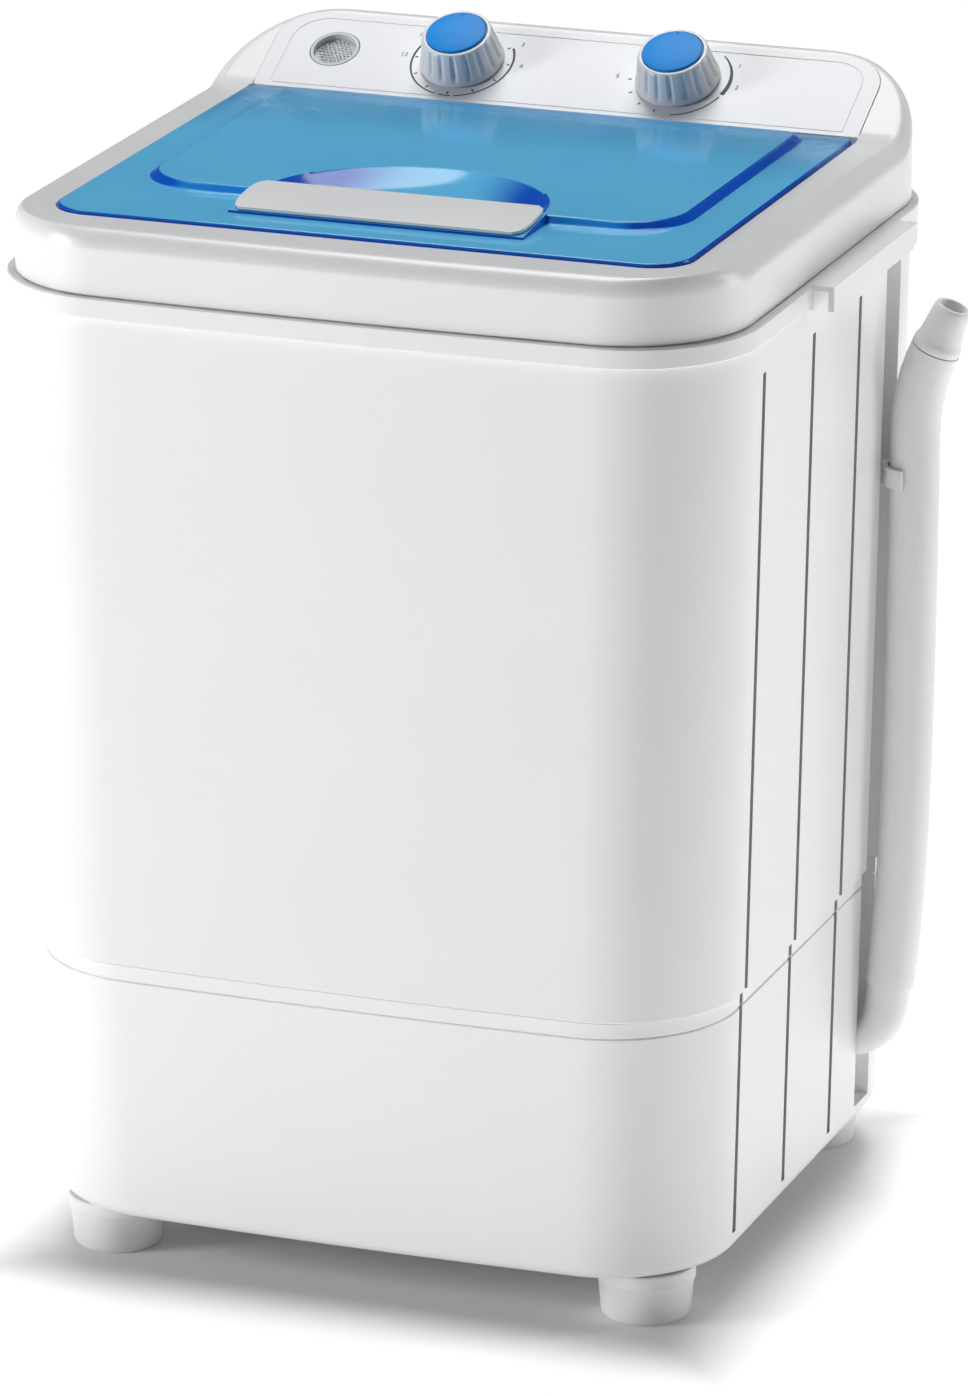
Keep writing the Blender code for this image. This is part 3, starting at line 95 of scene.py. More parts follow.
def plastic(name, light, dark, rough=(0.3, 0.4), patch=60.0, grain=1.2, bump=0.05, speck=0.0, **fixed):
    """Moulded plastic: two close tones in soft patches, a fine surface ripple and uneven gloss.

    patch and grain are the real widths in mm of the tone patches and of the ripple.
    """
    material = bpy.data.materials.new(name)
    material.use_nodes = True
    shader = material.node_tree.nodes["Principled BSDF"]
    place = node(material, "ShaderNodeTexCoord").outputs["Object"]
    patches = node(
        material, "ShaderNodeTexNoise", values={"Scale": 1000 / patch, "Detail": 3.0, "Roughness": 0.5},
        links={"Vector": place}
    )
    ripple = node(
        material, "ShaderNodeTexNoise", values={"Scale": 1000 / grain, "Detail": 2.0, "Roughness": 0.55},
        links={"Vector": place}
    )
    tone = node(
        material, "ShaderNodeMix", {"data_type": "RGBA"}, {6: linear(dark), 7: linear(light)},
        {0: patches.outputs["Fac"]}
    )
    colour = tone.outputs[2]
    if speck:
        fine = node(
            material, "ShaderNodeTexNoise", values={"Scale": 1000 / 0.8, "Detail": 1.0},
            links={"Vector": place}
        )
        spots = node(
            material, "ShaderNodeMapRange", values={1: 0.62, 2: 0.78, 3: 0.0, 4: speck},
            links={0: fine.outputs["Fac"]}
        )
        spotted = node(
            material, "ShaderNodeMix", {"data_type": "RGBA"}, {7: linear(dark)},
            {0: spots.outputs[0], 6: colour}
        )
        colour = spotted.outputs[2]
    gloss = node(
        material, "ShaderNodeMapRange", values={1: 0.1, 2: 0.9, 3: rough[0], 4: rough[1]},
        links={0: patches.outputs["Fac"]}
    )
    skin = node(
        material, "ShaderNodeBump", values={"Strength": bump, "Distance": 0.0002},
        links={"Height": ripple.outputs["Fac"]}
    )
    links = material.node_tree.links
    links.new(colour, shader.inputs["Base Color"])
    links.new(gloss.outputs[0], shader.inputs["Roughness"])
    links.new(skin.outputs[0], shader.inputs["Normal"])
    for key, value in fixed.items():
        shader.inputs[key.replace("_", " ")].default_value = value
    return material


def piece_of(name, points, faces, material, smooth=40.0):
    """A mesh piece from points in mm, smooth except along edges sharper than the given angle."""
    mesh = bpy.data.meshes.new(name)
    mesh.from_pydata([Vector(p) * MM for p in points], [], faces)
    mesh.update()
    piece = bpy.data.objects.new(name, mesh)
    scene.collection.objects.link(piece)
    if material:
        mesh.materials.append(material)
    return smoothed(piece, smooth)


def smoothed(piece, degrees=40.0):
    """Bakes the piece's modifiers into its mesh and shades it smooth between its sharp edges."""
    bpy.context.view_layer.update()
    if piece.modifiers:
        mesh = bpy.data.meshes.new_from_object(piece.evaluated_get(bpy.context.evaluated_depsgraph_get()))
        piece.modifiers.clear()
        old, piece.data = piece.data, mesh
        bpy.data.meshes.remove(old)
    work = bmesh.new()
    work.from_mesh(piece.data)
    bmesh.ops.remove_doubles(work, verts=work.verts, dist=1e-6)
    for face in work.faces:
        face.smooth = True
    for edge in work.edges:
        edge.smooth = len(edge.link_faces) != 2 or edge.calc_face_angle(0.0) < math.radians(degrees)
    work.to_mesh(piece.data)
    work.free()
    return piece


def rings(name, sections, material, closed=True, smooth=40.0):
    """Skins rings of points, one after another, with flat ends when closed."""
    around = len(sections[0])
    points = [p for ring in sections for p in ring]
    faces = []
    for level in range(len(sections) - 1):
        low, high = level * around, (level + 1) * around
        for i in range(around):
            j = (i + 1) % around
            faces.append((low + i, low + j, high + j, high + i))
    if closed:
        faces.append(tuple(reversed(range(around))))
        faces.append(tuple(range(len(points) - around, len(points))))
    return piece_of(name, points, faces, material, smooth)


def swept(name, path, radius_at, material, around=40, smooth=40.0):
    """A round tube along a path of points; radius_at gives its radius at each distance."""
    sections, gone = [], 0.0
    side = Vector((0, 1, 0))
    for i, point in enumerate(path):
        before, after = path[max(i - 1, 0)], path[min(i + 1, len(path) - 1)]
        way = (Vector(after) - Vector(before)).normalized()
        if i:
            gone += (Vector(point) - Vector(path[i - 1])).length
        side = (side - way * side.dot(way)).normalized()
        up = way.cross(side)
        radius = radius_at(gone)
        ring = []
        for k in range(around):
            a = 2 * math.pi * k / around
            ring.append(Vector(point) + (side * math.cos(a) + up * math.sin(a)) * radius)
        sections.append(ring)
    return rings(name, sections, material, True, smooth)


def finer(points, step):
    """The same path with points no further apart than step, on a smooth curve through them."""
    points = [Vector(p) for p in points]
    out = []
    for i in range(len(points) - 1):
        a, b = points[i], points[i + 1]
        before = points[i - 1] if i else a * 2 - b
        after = points[i + 2] if i + 2 < len(points) else b * 2 - a
        count = max(1, math.ceil((b - a).length / step))
        for k in range(count):
            t = k / count
            out.append(
                (a * 2 + (b - before) * t + (before * 2 - a * 5 + b * 4 - after) * t * t
                 + (a * 3 - before - b * 3 + after) * t ** 3) * 0.5
            )
    return out + [points[-1]]


# Soft polyethylene: a milky waxy white that scatters a little light and shines dully.
soft_polyethylene = plastic(
    "soft_polyethylene", "#F8F8F8", "#F0F1F2", (0.38, 0.5), patch=40, grain=2.0, bump=0.12,
    Subsurface_Weight=0.15, Subsurface_Radius=(0.004, 0.004, 0.004), IOR=1.51,
)
# Grey satin ABS: the duller, slightly grained grey of small fittings.
grey_satin_abs = plastic(
    "grey_satin_abs", "#DEE0E2", "#D3D6D9", (0.4, 0.52), patch=25, grain=0.8, bump=0.18, IOR=1.53
)
# White gloss ABS: bright shell plastic with a wet-looking skin and a faint moulding ripple.
white_gloss_abs = plastic(
    "white_gloss_abs", "#F2F2F3", "#ECEDEE", (0.26, 0.34), patch=90, grain=1.6, bump=0.035,
    IOR=1.53, Specular_IOR_Level=0.5, Coat_Weight=0.12, Coat_Roughness=0.14, Coat_IOR=1.5,
)

spout_bend, spout_end = (191.5, 100.5, 74.0), (195.6, 100.5, 104.0)
hose_straight_x, hose_bend_z, hose_bend_r, hose_lean = 205.0, 400.0, 115.0, math.radians(24)
hose_r = 13.0
spout_way = (Vector(spout_end) - Vector(spout_bend)).normalized()


def hose_x(z):
    return spout_end[0] + (hose_straight_x - spout_end[0]) * (1 - math.exp(-(z - spout_end[2]) / 73.0))


route = [Vector(spout_end) + spout_way * 0.3]
for i in range(1, 13):
    level = spout_end[2] + (hose_bend_z - spout_end[2]) * i / 12
    route.append(Vector((hose_x(level), spout_end[1], level)))
for i in range(1, 6):
    a = hose_lean * i / 5
    route.append(
        Vector(
            (
                hose_x(hose_bend_z) + hose_bend_r * (1 - math.cos(a)), spout_end[1],
                hose_bend_z + hose_bend_r * math.sin(a)
            )
        )
    )


def hose_radius(gone):
    """Smooth, with a faint draw ring every 9 mm as extruded tube has."""
    return hose_r - 0.05 - 0.05 * math.cos(2 * math.pi * gone / 9.0)


drain_hose = swept("drain_hose_tube", finer(route, 0.8), hose_radius, soft_polyethylene, 48, 70)
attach(drain_hose, "cabinet")
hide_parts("drain_hose")


def turned(name, profile, material, place=(0, 0, 0), steps=64, tilt=None, smooth=35.0):
    """A profile of (radius, height) in mm turned about Z, then tilted and put in place."""
    sections = []
    for radius, height in profile:
        sections.append(
            [
                (
                    radius * math.cos(2 * math.pi * k / steps), radius * math.sin(2 * math.pi * k / steps),
                    height
                ) for k in range(steps)
            ]
        )
    piece = rings(name, sections, material, False, smooth)
    if tilt is not None:
        piece.data.transform(tilt.to_4x4())
    piece.data.transform(Matrix.Translation(Vector(place) * MM))
    return piece


def rod(name, radius, low, high, place=(0, 0, 0), steps=64, tilt=None):
    """A plain cylinder between two heights, for holes and bosses."""
    return turned(name, [(0.01, low), (radius, low), (radius, high), (0.01, high)], None, place, steps, tilt)


nozzle_profile = [
    (0.01, 4.5), (7.9, 4.5), (7.6, 8.0), (6.9, 24.6), (7.1, 25.0), (8.6, 25.0), (9.1, 24.6), (9.7, 23.0),
    (10.2, 18.0),
    (10.8, 12.0), (11.5, 7.0), (12.0, 5.6), (12.5, 4.6), (12.7, 3.6), (12.8, 2.6), (12.8, 1.0), (12.5, 0.4),
    (0.01, 0.4),
]
hose_tip = Matrix.Rotation(hose_lean * 0.9, 3, "Y")
nozzle = turned("hose_end_nozzle", list(reversed(nozzle_profile)), soft_polyethylene, route[-1], 48, hose_tip)
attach(nozzle, "cabinet")
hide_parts("hose_nozzle")


def bend(start, corner, end, radius, steps):
    """Points from start to end that round the corner between them."""
    start, corner, end = Vector(start), Vector(corner), Vector(end)
    back, ahead = (start - corner).normalized(), (end - corner).normalized()
    half = back.angle(ahead) / 2
    reach = radius / math.tan(half)
    centre = corner + (back + ahead).normalized() * radius / math.sin(half)
    first, last = corner + back * reach, corner + ahead * reach
    turn = (first - centre).angle(last - centre)
    axis = (first - centre).cross(last - centre).normalized()
    return [start] + [
        centre + Matrix.Rotation(turn * i / steps, 3, axis) @ (first - centre) for i in range(steps + 1)
    ] + [end]


drain_low, drain_turn = (112.0, 70.0, 74.0), (150.0, 100.5, 74.0)
elbow_route = bend((112.0, 70.0, 180.0), drain_low, drain_turn, 20.0, 12)[:-1]
elbow_route += bend(drain_low, drain_turn, spout_bend, 20.0, 8)[1:-1] + bend(
    drain_turn, spout_bend, spout_end, 20.0, 14
)[1:]
elbow = swept("drain_elbow_pipe", elbow_route, lambda gone: 11.5, soft_polyethylene, 40, 50)
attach(elbow, "cabinet")
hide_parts("drain_elbow")


def cut(piece, other, kind="DIFFERENCE"):
    """Cuts, or joins, another piece's shape into this one and takes the other away."""
    step = piece.modifiers.new("cut", "BOOLEAN")
    step.operation = kind
    step.solver = "EXACT"
    step.material_mode = "TRANSFER" if other.data.materials else "INDEX"
    step.object = other
    bpy.context.view_layer.update()
    mesh = bpy.data.meshes.new_from_object(piece.evaluated_get(bpy.context.evaluated_depsgraph_get()))
    piece.modifiers.clear()
    piece.data = mesh
    bpy.data.objects.remove(other)
    return piece


def softened(piece, width, segments=2, angle=35.0, smooth=35.0):
    """Rounds the piece's sharp edges as a mould does, then shades it."""
    rounding = piece.modifiers.new("rounding", "BEVEL")
    rounding.width = width * MM
    rounding.segments = segments
    rounding.limit_method = "ANGLE"
    rounding.angle_limit = math.radians(angle)
    rounding.harden_normals = False
    rounding.use_clamp_overlap = True
    smoothed(piece, smooth)
    flats = piece.modifiers.new("flats", "WEIGHTED_NORMAL")
    flats.weight = 100
    flats.keep_sharp = True
    return piece


def block(name, x, y, z, material=None):
    """A box between two limits in mm on each axis."""
    points = [(a, b, c) for c in z for a, b in ((x[0], y[0]), (x[1], y[0]), (x[1], y[1]), (x[0], y[1]))]
    faces = [(3, 2, 1, 0), (4, 5, 6, 7), (0, 1, 5, 4), (1, 2, 6, 5), (2, 3, 7, 6), (3, 0, 4, 7)]
    return piece_of(name, points, faces, material, 30.0)


clip_z, clip_y = 380.0, spout_end[1]
clip_x = hose_x(clip_z)
clip_ring = []
for i in range(33):
    a = math.radians(97 + 166 * i / 32)
    clip_ring.append((math.cos(a), math.sin(a)))
clip_points, clip_faces = [], []
for x, y in clip_ring:
    for r, z in ((13.9, clip_z - 5), (16.4, clip_z - 5), (16.4, clip_z + 5), (13.9, clip_z + 5)):
        clip_points.append((clip_x + x * r, clip_y + y * r, z))
for i in range(32):
    for k in range(4):
        clip_faces.append((4 * i + k, 4 * i + (k + 1) % 4, 4 * i + 4 + (k + 1) % 4, 4 * i + 4 + k))
clip_faces += [(3, 2, 1, 0), (128, 129, 130, 131)]
clip = piece_of("hose_clip_half_ring", clip_points, clip_faces, white_gloss_abs)
arm = block("arm", (176.4, clip_x - 14.2), (clip_y - 4, clip_y + 4), (clip_z - 4.9, clip_z + 4.9))
cut(clip, arm, "UNION")
softened(clip, 0.6)
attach(clip, "cabinet")
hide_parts("hose_clip")


# ---- Outer casing with its side grips
# One deep injection-moulded ABS shell, drafted so that it narrows downwards, with a
# band round its top, three grooves a side and a recess for the hose at the rear.
corner_r, front_bow, wall = 66.0, 5.0, 3.0


def outline(half, front, rear, r_front=corner_r, r_rear=corner_r, bow=front_bow, arc=18, stops=()):
    """The whole plan outline in mm, from the front middle round to the right and back."""
    right = []
    for part in (0.12, 0.3, 0.5, 0.7, 0.88, 1.0):
        x = (half - r_front) * part
        right.append((x, front + bow * (x / half) ** 2))
    base = right[-1][1]
    for i in range(1, arc + 1):
        a = math.radians(-90 + 90 * i / arc)
        right.append((half - r_front + r_front * math.cos(a), base + r_front + r_front * math.sin(a)))
    right += [(half, y) for y in stops]
    for i in range(arc + 1):
        a = math.radians(90 * i / arc)
        right.append((half - r_rear + r_rear * math.cos(a), rear - r_rear + r_rear * math.sin(a)))
    return right + [(-x, y) for x, y in reversed(right)]


def shell(name, levels, material=None, height=None, smooth=30.0):
    """Plan outlines at rising levels as a closed form; height(y) lifts the ones under 100."""
    count = len(levels[0][0])
    points, faces = [], []
    for plan, z in levels:
        points += [(x, y, height(y) - z if height and z < 100 else z) for x, y in plan]
    for level in range(len(levels) - 1):
        low, high = level * count, (level + 1) * count
        for i in range(count):
            j = (i + 1) % count
            faces += [(low + i, low + j, high + j), (low + i, high + j, high + i)]
    top = (len(levels) - 1) * count
    faces.append(tuple(reversed(range(count))))
    if height:
        for i in range(count // 2 - 1):
            across = top + count - 1 - i
            faces.append((top + i, top + i + 1, across - 1, across))
    else:
        faces.append(tuple(range(top, top + count)))
    return piece_of(name, points, faces, material, smooth)


def lerp(low, high, z, z_low, z_high):
    return low + (high - low) * (z - z_low) / (z_high - z_low)


def casing_plan(z, inset=0.0):
    half = lerp(185.8, 192.5, z, 167.4, 503.0) - inset
    front = lerp(-181.0, -185.2, z, 167.4, 503.0) + inset
    return outline(half, front, 183.4 - inset, corner_r - inset, corner_r - inset)


band = outline(195.0, -187.5, 187.4)
band_low = outline(194.4, -186.9, 186.8, 65.4, 65.4)
casing = shell(
    "outer_casing_shell",
    [
        (casing_plan(167.4, 0.6), 167.4), (casing_plan(168.0), 168.0), (casing_plan(502.2), 502.2),
        (band_low, 502.9), (band, 503.6), (band, 512.7), (band_low, 513.5),
    ],
    white_gloss_abs,
)
for side in (-1, 1):
    cut(casing, block("grip", sorted((side * 189.0, side * 206.0)), (-40, 95), (501.0, 513.5)), "UNION")
hollow = shell("hollow", [(casing_plan(160, wall), 160), (casing_plan(522, wall), 522)])
for side in (-1, 1):
    back = block("back", sorted((side * 173.0, side * 215.0)), (86.0, 115.0), (90, 590))
    cut(hollow, back)
cut(casing, hollow)
for side in (-1, 1):
    cut(casing, block("under_grip", sorted((side * 195.2, side * 203.0)), (-45, 100), (480.0, 510.9)))
    cut(casing, block("hose_recess", sorted((side * 176.0, side * 206.0)), (89, 112), (150, 502.5)))

groove_y, groove_wide, groove_deep = (-105.0, -28.0, 46.0), 5.4, 2.4
# Groove shade ABS: painted shade, the shell's white drawn grey, matt and specked inside each groove so that
# the grooves look dark.
groove_painted_shade_abs = plastic(
    "groove_painted_shade_abs", "#A9ABAD", "#9A9DA0", (0.55, 0.7), patch=20, grain=0.6, bump=0.2, speck=0.3, IOR=1.53
)


def groove(z_low, half_low, z_high, half_high, y, side):
    """A cutter for one upright groove that leans with the wall."""
    points = []
    for z, half in ((z_low, half_low), (z_high, half_high)):
        for dx, dy in ((-groove_deep, -0.8), (8, -1), (8, 1), (-groove_deep, 0.8)):
            points.append((side * (half + dx), y + dy * groove_wide / 2, z))
    faces = [(0, 3, 2, 1), (4, 5, 6, 7)] + [(i, (i + 1) % 4, 4 + (i + 1) % 4, 4 + i) for i in range(4)]
    faces = faces if side > 0 else [tuple(reversed(face)) for face in faces]
    # The cutter's faces lay the painted shade grey into every groove that it cuts.
    return piece_of("groove", points, faces, groove_painted_shade_abs)


for side in (-1, 1):
    for y in groove_y:
        cut(
            casing,
            groove(
                163, lerp(185.8, 192.5, 163, 167.4, 503), 486, lerp(185.8, 192.5, 486, 167.4, 503), y, side
            )
        )
cut(casing, block("rear_opening", (-100, 100), (171, 192), (220, 460)))
softened(casing, 0.45, 2, 30, 30)
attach(casing, "cabinet")
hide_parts("outer_casing")

# ---- Rear service cover
# A thin flat ABS cover over the opening in the casing's rear wall, with four louvre
# slots, held by four zinc-plated screws.
rear_cover = block("rear_service_cover", (-116, 116), (183.7, 185.6), (204, 476), white_gloss_abs)
for i in range(4):
    cut(rear_cover, block("louvre", (-45, 45), (178, 190), (237.5 + 14 * i, 242.5 + 14 * i)))
softened(rear_cover, 0.5)
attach(rear_cover, "cabinet")
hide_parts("rear_cover")


# ---- Base skirt
# The lower body is a second ABS moulding that the casing drops over, with a fine
# shadow line under the joint, a rounded lower edge and the same grooves and recess.
def base_plan(z, inset=0.0):
    half = lerp(180.8, 183.4, z, 27.0, 167.0) - inset
    front = lerp(-171.5, -180.0, z, 27.0, 167.0) + inset
    return outline(half, front, 181.0 - inset, corner_r - inset, corner_r - inset)


levels = []
for i in range(7):
    a = math.radians(15 * i)
    levels.append((base_plan(27.0, 7.5 * (1 - math.sin(a))), 27.0 + 9.0 * (1 - math.cos(a))))
for z, inset in (
    (157.7, 0.0), (158.1, 0.25), (158.3, 0.95), (158.9, 0.95), (159.1, 0.25), (159.5, 0.0), (166.4, 0.0),
    (167.0, 0.6)
):
    levels.append((base_plan(z, inset), z))
base = shell("base_skirt_shell", levels, white_gloss_abs)
hollow = shell("hollow", [(base_plan(30, 7.0), 30), (base_plan(38, wall), 38), (base_plan(175, wall), 175)])
for side in (-1, 1):
    cut(hollow, block("back", sorted((side * 165.0, side * 205.0)), (85.4, 115.6), (0, 200)))
cut(base, hollow)
for side in (-1, 1):
    cut(base, block("hose_recess", sorted((side * 168.0, side * 198.0)), (89, 112), (37, 177)))
    for y in groove_y:
        cut(base, groove(38.0, 181.0, 173.0, 183.5, y, side))
sideways = Matrix.Rotation(math.pi / 2, 3, "Y")
cut(base, rod("outlet_hole", 11.9, -20, 20, (168, 100.5, 74), 32, sideways))
cut(base, block("floor_hole", (-125, 125), (-95, 100), (10, 60)))
softened(base, 0.45, 2, 30, 30)
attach(base, "cabinet")
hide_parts("base_skirt")

# ---- Feet
# Four round hollow-bottomed feet in light grey rubber-filled plastic, pushed up into
# the base; each has a flat sole and a rounded lower edge.
# Rubber-filled plastic: paler than rubber, matt and a little scuffed near the floor.
rubber_filled_plastic = plastic(
    "rubber_filled_plastic", "#F6F6F6", "#E9EAEA", (0.45, 0.6), patch=14, grain=1.0, bump=0.2, speck=0.25,
    IOR=1.5
)
foot_profile = [
    (0.01, 3.0), (8.0, 3.0), (9.0, 0.3), (9.4, 0.0), (20.2, 0.0), (21.2, 0.25), (22.0, 1.0), (22.6, 2.2),
    (24.2, 19.0),
    (24.5, 19.4), (25.0, 19.9), (25.0, 26.2), (24.6, 26.7), (0.01, 26.7),
]
for i, (x, y) in enumerate(((-143.0, -130.0), (143.0, -130.0), (-143.0, 134.0), (143.0, 134.0))):
    foot = turned("round_foot_%d" % (i + 1), foot_profile, rubber_filled_plastic, (x, y, 0))
    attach(foot, "cabinet")
    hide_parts("foot_%d" % (i + 1))

# ---- Top cover
# The upper ABS moulding: a flat deck with a rounded edge that rises at the rear into
# the sloping control housing, a shallow recess for the lid and a funnel into the tub.
deck, panel_start, panel_end, panel_slope = 546.6, 121.0, 179.0, math.radians(28)


def deck_height(y):
    return deck + max(0.0, min(y, panel_end) - panel_start) * math.tan(panel_slope)


def soft_height(y):
    """The deck's height with its foot and its top edge eased over a few millimetres."""
    near = [deck_height(y + d) for d in (-3.0, -2.0, -1.0, 0.0, 1.0, 2.0, 3.0)]
    return sum(near) / len(near)


def cover_plan(inset, r_front, r_rear):
    stops = (-60.0, 0.0, 60.0, 108.0, 112.0, 115.0)
    return outline(190.8 - inset, -185.0 + inset, 186.6 - inset, r_front, r_rear, stops=stops)


levels = [(cover_plan(0.5, 63.5, 63.5), 513.8), (cover_plan(0.0, 64.0, 64.0), 514.4)]
for i in range(9):
    a = math.radians(90 * i / 8)
    inset = 9.6 * (1 - math.cos(a))
    r_front, r_rear = 64 - inset - 17 * (i / 8) ** 2, 64 - inset * 1.25
    levels.append((cover_plan(inset, r_front, r_rear), 10.0 * (1 - math.sin(a))))
cover = shell("top_cover_shell", levels, white_gloss_abs, soft_height)
hollow = shell(
    "hollow",
    [
        (cover_plan(3.0, 61.0, 61.0), 505.8), (cover_plan(3.8, 60.0, 60.0), 13.4),
        (cover_plan(8.6, 50.0, 55.0), 6.0),
        (cover_plan(12.6, 38.0, 50.0), 4.2),
    ],
    None,
    deck_height,
)
cut(cover, hollow)


def rounded(half_x, y0, y1, radius, r_rear=None, steps=12):
    """A rounded rectangle's whole outline in mm, from the front right corner round."""
    rear = radius if r_rear is None else r_rear
    right = []
    for i in range(steps + 1):
        a = math.radians(-90 + 90 * i / steps)
        right.append((half_x - radius + radius * math.cos(a), y0 + radius + radius * math.sin(a)))
    for i in range(steps + 1):
        a = math.radians(90 * i / steps)
        right.append((half_x - rear + rear * math.cos(a), y1 - rear + rear * math.sin(a)))
    return right + [(-x, y) for x, y in reversed(right)]


ledge = rounded(169.2, -158.2, 124.0, 25, 12)
cut(cover, shell("ledge", [(ledge, 540.4), (ledge, 545.6)]), "UNION")
funnel = shell("funnel", [(rounded(155, -144, 119, 60, 60), 507.5), (rounded(158, -147, 124, 30, 12), 541.9)])
cut(cover, funnel, "UNION")
for side in (-1, 1):
    x, wall_z = side * 154.9, 538.1
    cut(
        cover, block("pocket_wall", (x - 15.4, x + 15.4), (106.6, 124.6), (wall_z - 3.05, wall_z + 3.05)),
        "UNION"
    )
mouth = [
    (rounded(151.5, -140.5, 115.5, 58, 58), 499.0), (rounded(152, -141, 116, 58, 58), 507.5),
    (rounded(155, -144, 121, 28, 10), 543.4), (rounded(155, -144, 121, 28, 10), 600.0),
]
cut(cover, shell("mouth", mouth))
recess = rounded(166.2, -155.2, 121.0, 22, 3)
cut(cover, shell("recess", [(recess, 543.4), (recess, 600.0)]))
for side in (-1, 1):
    x = side * 153.6
    cut(cover, block("pocket", (x - 12.2, x + 12.2), (109.6, 120.2), (538.4, 544.8)))
    for end in (-28.4, 28.4):
        x = side * 58.0 + end
        cut(cover, block("lug", (x - 1.5, x + 1.5), (109.0, 113.6), (534.8, 545.4)), "UNION")
        cut(cover, block("arm", (x - 1.4, x + 1.4), (109.5, 122.5), (534.9, 539.0)), "UNION")
        cut(cover, rod("boss", 3.3, -1.35, 1.35, (x, 113.4, 542.6), 24, sideways), "UNION")
        cut(cover, rod("pin_hole", 2.2, -4, 4, (x, 113.4, 542.6), 16, sideways))
panel_mid, slope_long = 149.0, (panel_end - panel_start) / math.cos(panel_slope)
panel_low, panel_high = -slope_long / 2 + 2.0, slope_long / 2 - 4.0
panel_tilt = Matrix.Rotation(panel_slope, 4, "X")
panel_normal = Vector((0, -math.sin(panel_slope), math.cos(panel_slope)))


def panel_place(x, y, lift=0.0):
    """The turn and place in metres of a piece that stands on the sloping panel."""
    return Matrix.Translation((Vector((x, y, deck_height(y))) + panel_normal * lift) * MM) @ panel_tilt


def plate(name, plan, z, material=None):
    return shell(name, [(plan, z[0]), (plan, z[1])], material)


fascia = plate("fascia", rounded(165.4, panel_low - 0.4, panel_high + 0.4, 2.4, 22.4), (-1.7, 8))
fascia.data.transform(panel_place(0, panel_mid))
cut(cover, fascia)
behind = plate("behind", rounded(157, panel_low + 7, panel_high - 5, 4, 16), (-12, 6))
behind.data.transform(panel_place(0, panel_mid))
cut(cover, behind)
cut(cover, rod("spout_hole", 10.4, -18, 24, (-130, 112, 529), 32, Matrix.Rotation(-math.pi / 2, 3, "X")))
softened(cover, 0.5, 2, 32, 32)
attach(cover, "cabinet")
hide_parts("top_cover")


# ---- Control panel with its printed scales
# A separate satin white plate set flush into the slope, with a fine moulded line
# inside its edge. The scales round the knobs are pad-printed in grey.
# White satin ABS: the same white with a finer grain and a softer shine than the shell.
white_satin_abs = plastic(
    "white_satin_abs", "#F0F1F3", "#E8EAED", (0.3, 0.4), patch=70, grain=0.7, bump=0.08, IOR=1.53,
    Specular_IOR_Level=0.6
)
# Printing ink: a thin flat grey film, dull beside the plastic.
grey_ink = plastic("grey_ink", "#4A4E53", "#3C4045", (0.55, 0.65), patch=8, grain=0.5, bump=0.05)

panel = plate("control_panel_plate", rounded(165, panel_low, panel_high, 2, 22), (-1.4, 0.4), white_satin_abs)
knob_places = {"wash": (-59.0, 149.5), "spin": (59.0, 149.5)}
inlet_x, inlet_y = -130.0, 150.0


def along_slope(y):
    return (y - panel_mid) / math.cos(panel_slope)


for x, y in knob_places.values():
    cut(panel, rod("hole", 5, -8, 8, (x, along_slope(y), 0), 32))
cut(panel, rod("hole", 13.4, -8, 8, (inlet_x, along_slope(inlet_y), 0), 48))
line_out, line_in = rounded(156.4, panel_low + 2.6, panel_high - 4.2, 2, 18), rounded(
    155.6, panel_low + 3.4, panel_high - 5, 1.2, 17.2
)
count = len(line_out)
ring_points = [(x, y, z) for z in (0.1, 3.0) for plan in (line_out, line_in) for x, y in plan]
ring_faces = []
for i in range(count):
    j = (i + 1) % count
    ring_faces += [(i, j, 2 * count + j, 2 * count + i), (count + j, count + i, 3 * count + i, 3 * count + j)]
    ring_faces += [(j, i, count + i, count + j), (2 * count + i, 2 * count + j, 3 * count + j, 3 * count + i)]
cut(panel, piece_of("line", ring_points, ring_faces, None))
panel.data.transform(panel_place(0, panel_mid))
softened(panel, 0.3, 2)
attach(panel, "cabinet")
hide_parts("control_panel")


def printed(name, strokes, place):
    """Ink strokes on the panel: each is an outline of points in mm, a hair above the plate."""
    points, faces = [], []
    for stroke in strokes:
        first = len(points)
        points += [(x, y, 0.46) for x, y in stroke]
        faces.append(tuple(range(first, len(points))))
    ink = piece_of(name, points, faces, grey_ink)
    ink.data.transform(panel_place(*place))
    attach(ink, "cabinet")
    return ink


def arc(start, end, r0, r1, wide0, wide1, steps=28):
    """A printed arc between two clock-wise angles from the top, tapering in width."""
    outer, inner = [], []
    for i in range(steps + 1):
        t = i / steps
        a = math.radians(90 - (start + (end - start) * t))
        r, wide = r0 + (r1 - r0) * t, wide0 + (wide1 - wide0) * t
        outer.append(((r + wide / 2) * math.cos(a), (r + wide / 2) * math.sin(a)))
        inner.append(((r - wide / 2) * math.cos(a), (r - wide / 2) * math.sin(a)))
    return inner + outer[::-1]


def tick(at, r0, r1, wide=0.7):
    a = math.radians(90 - at)
    way, side = Vector((math.cos(a), math.sin(a))), Vector((-math.sin(a), math.cos(a))) * wide / 2
    return [
        tuple(way * r0 - side), tuple(way * r1 - side), tuple(way * r1 + side), tuple(way * r0 + side)
    ][::-1]


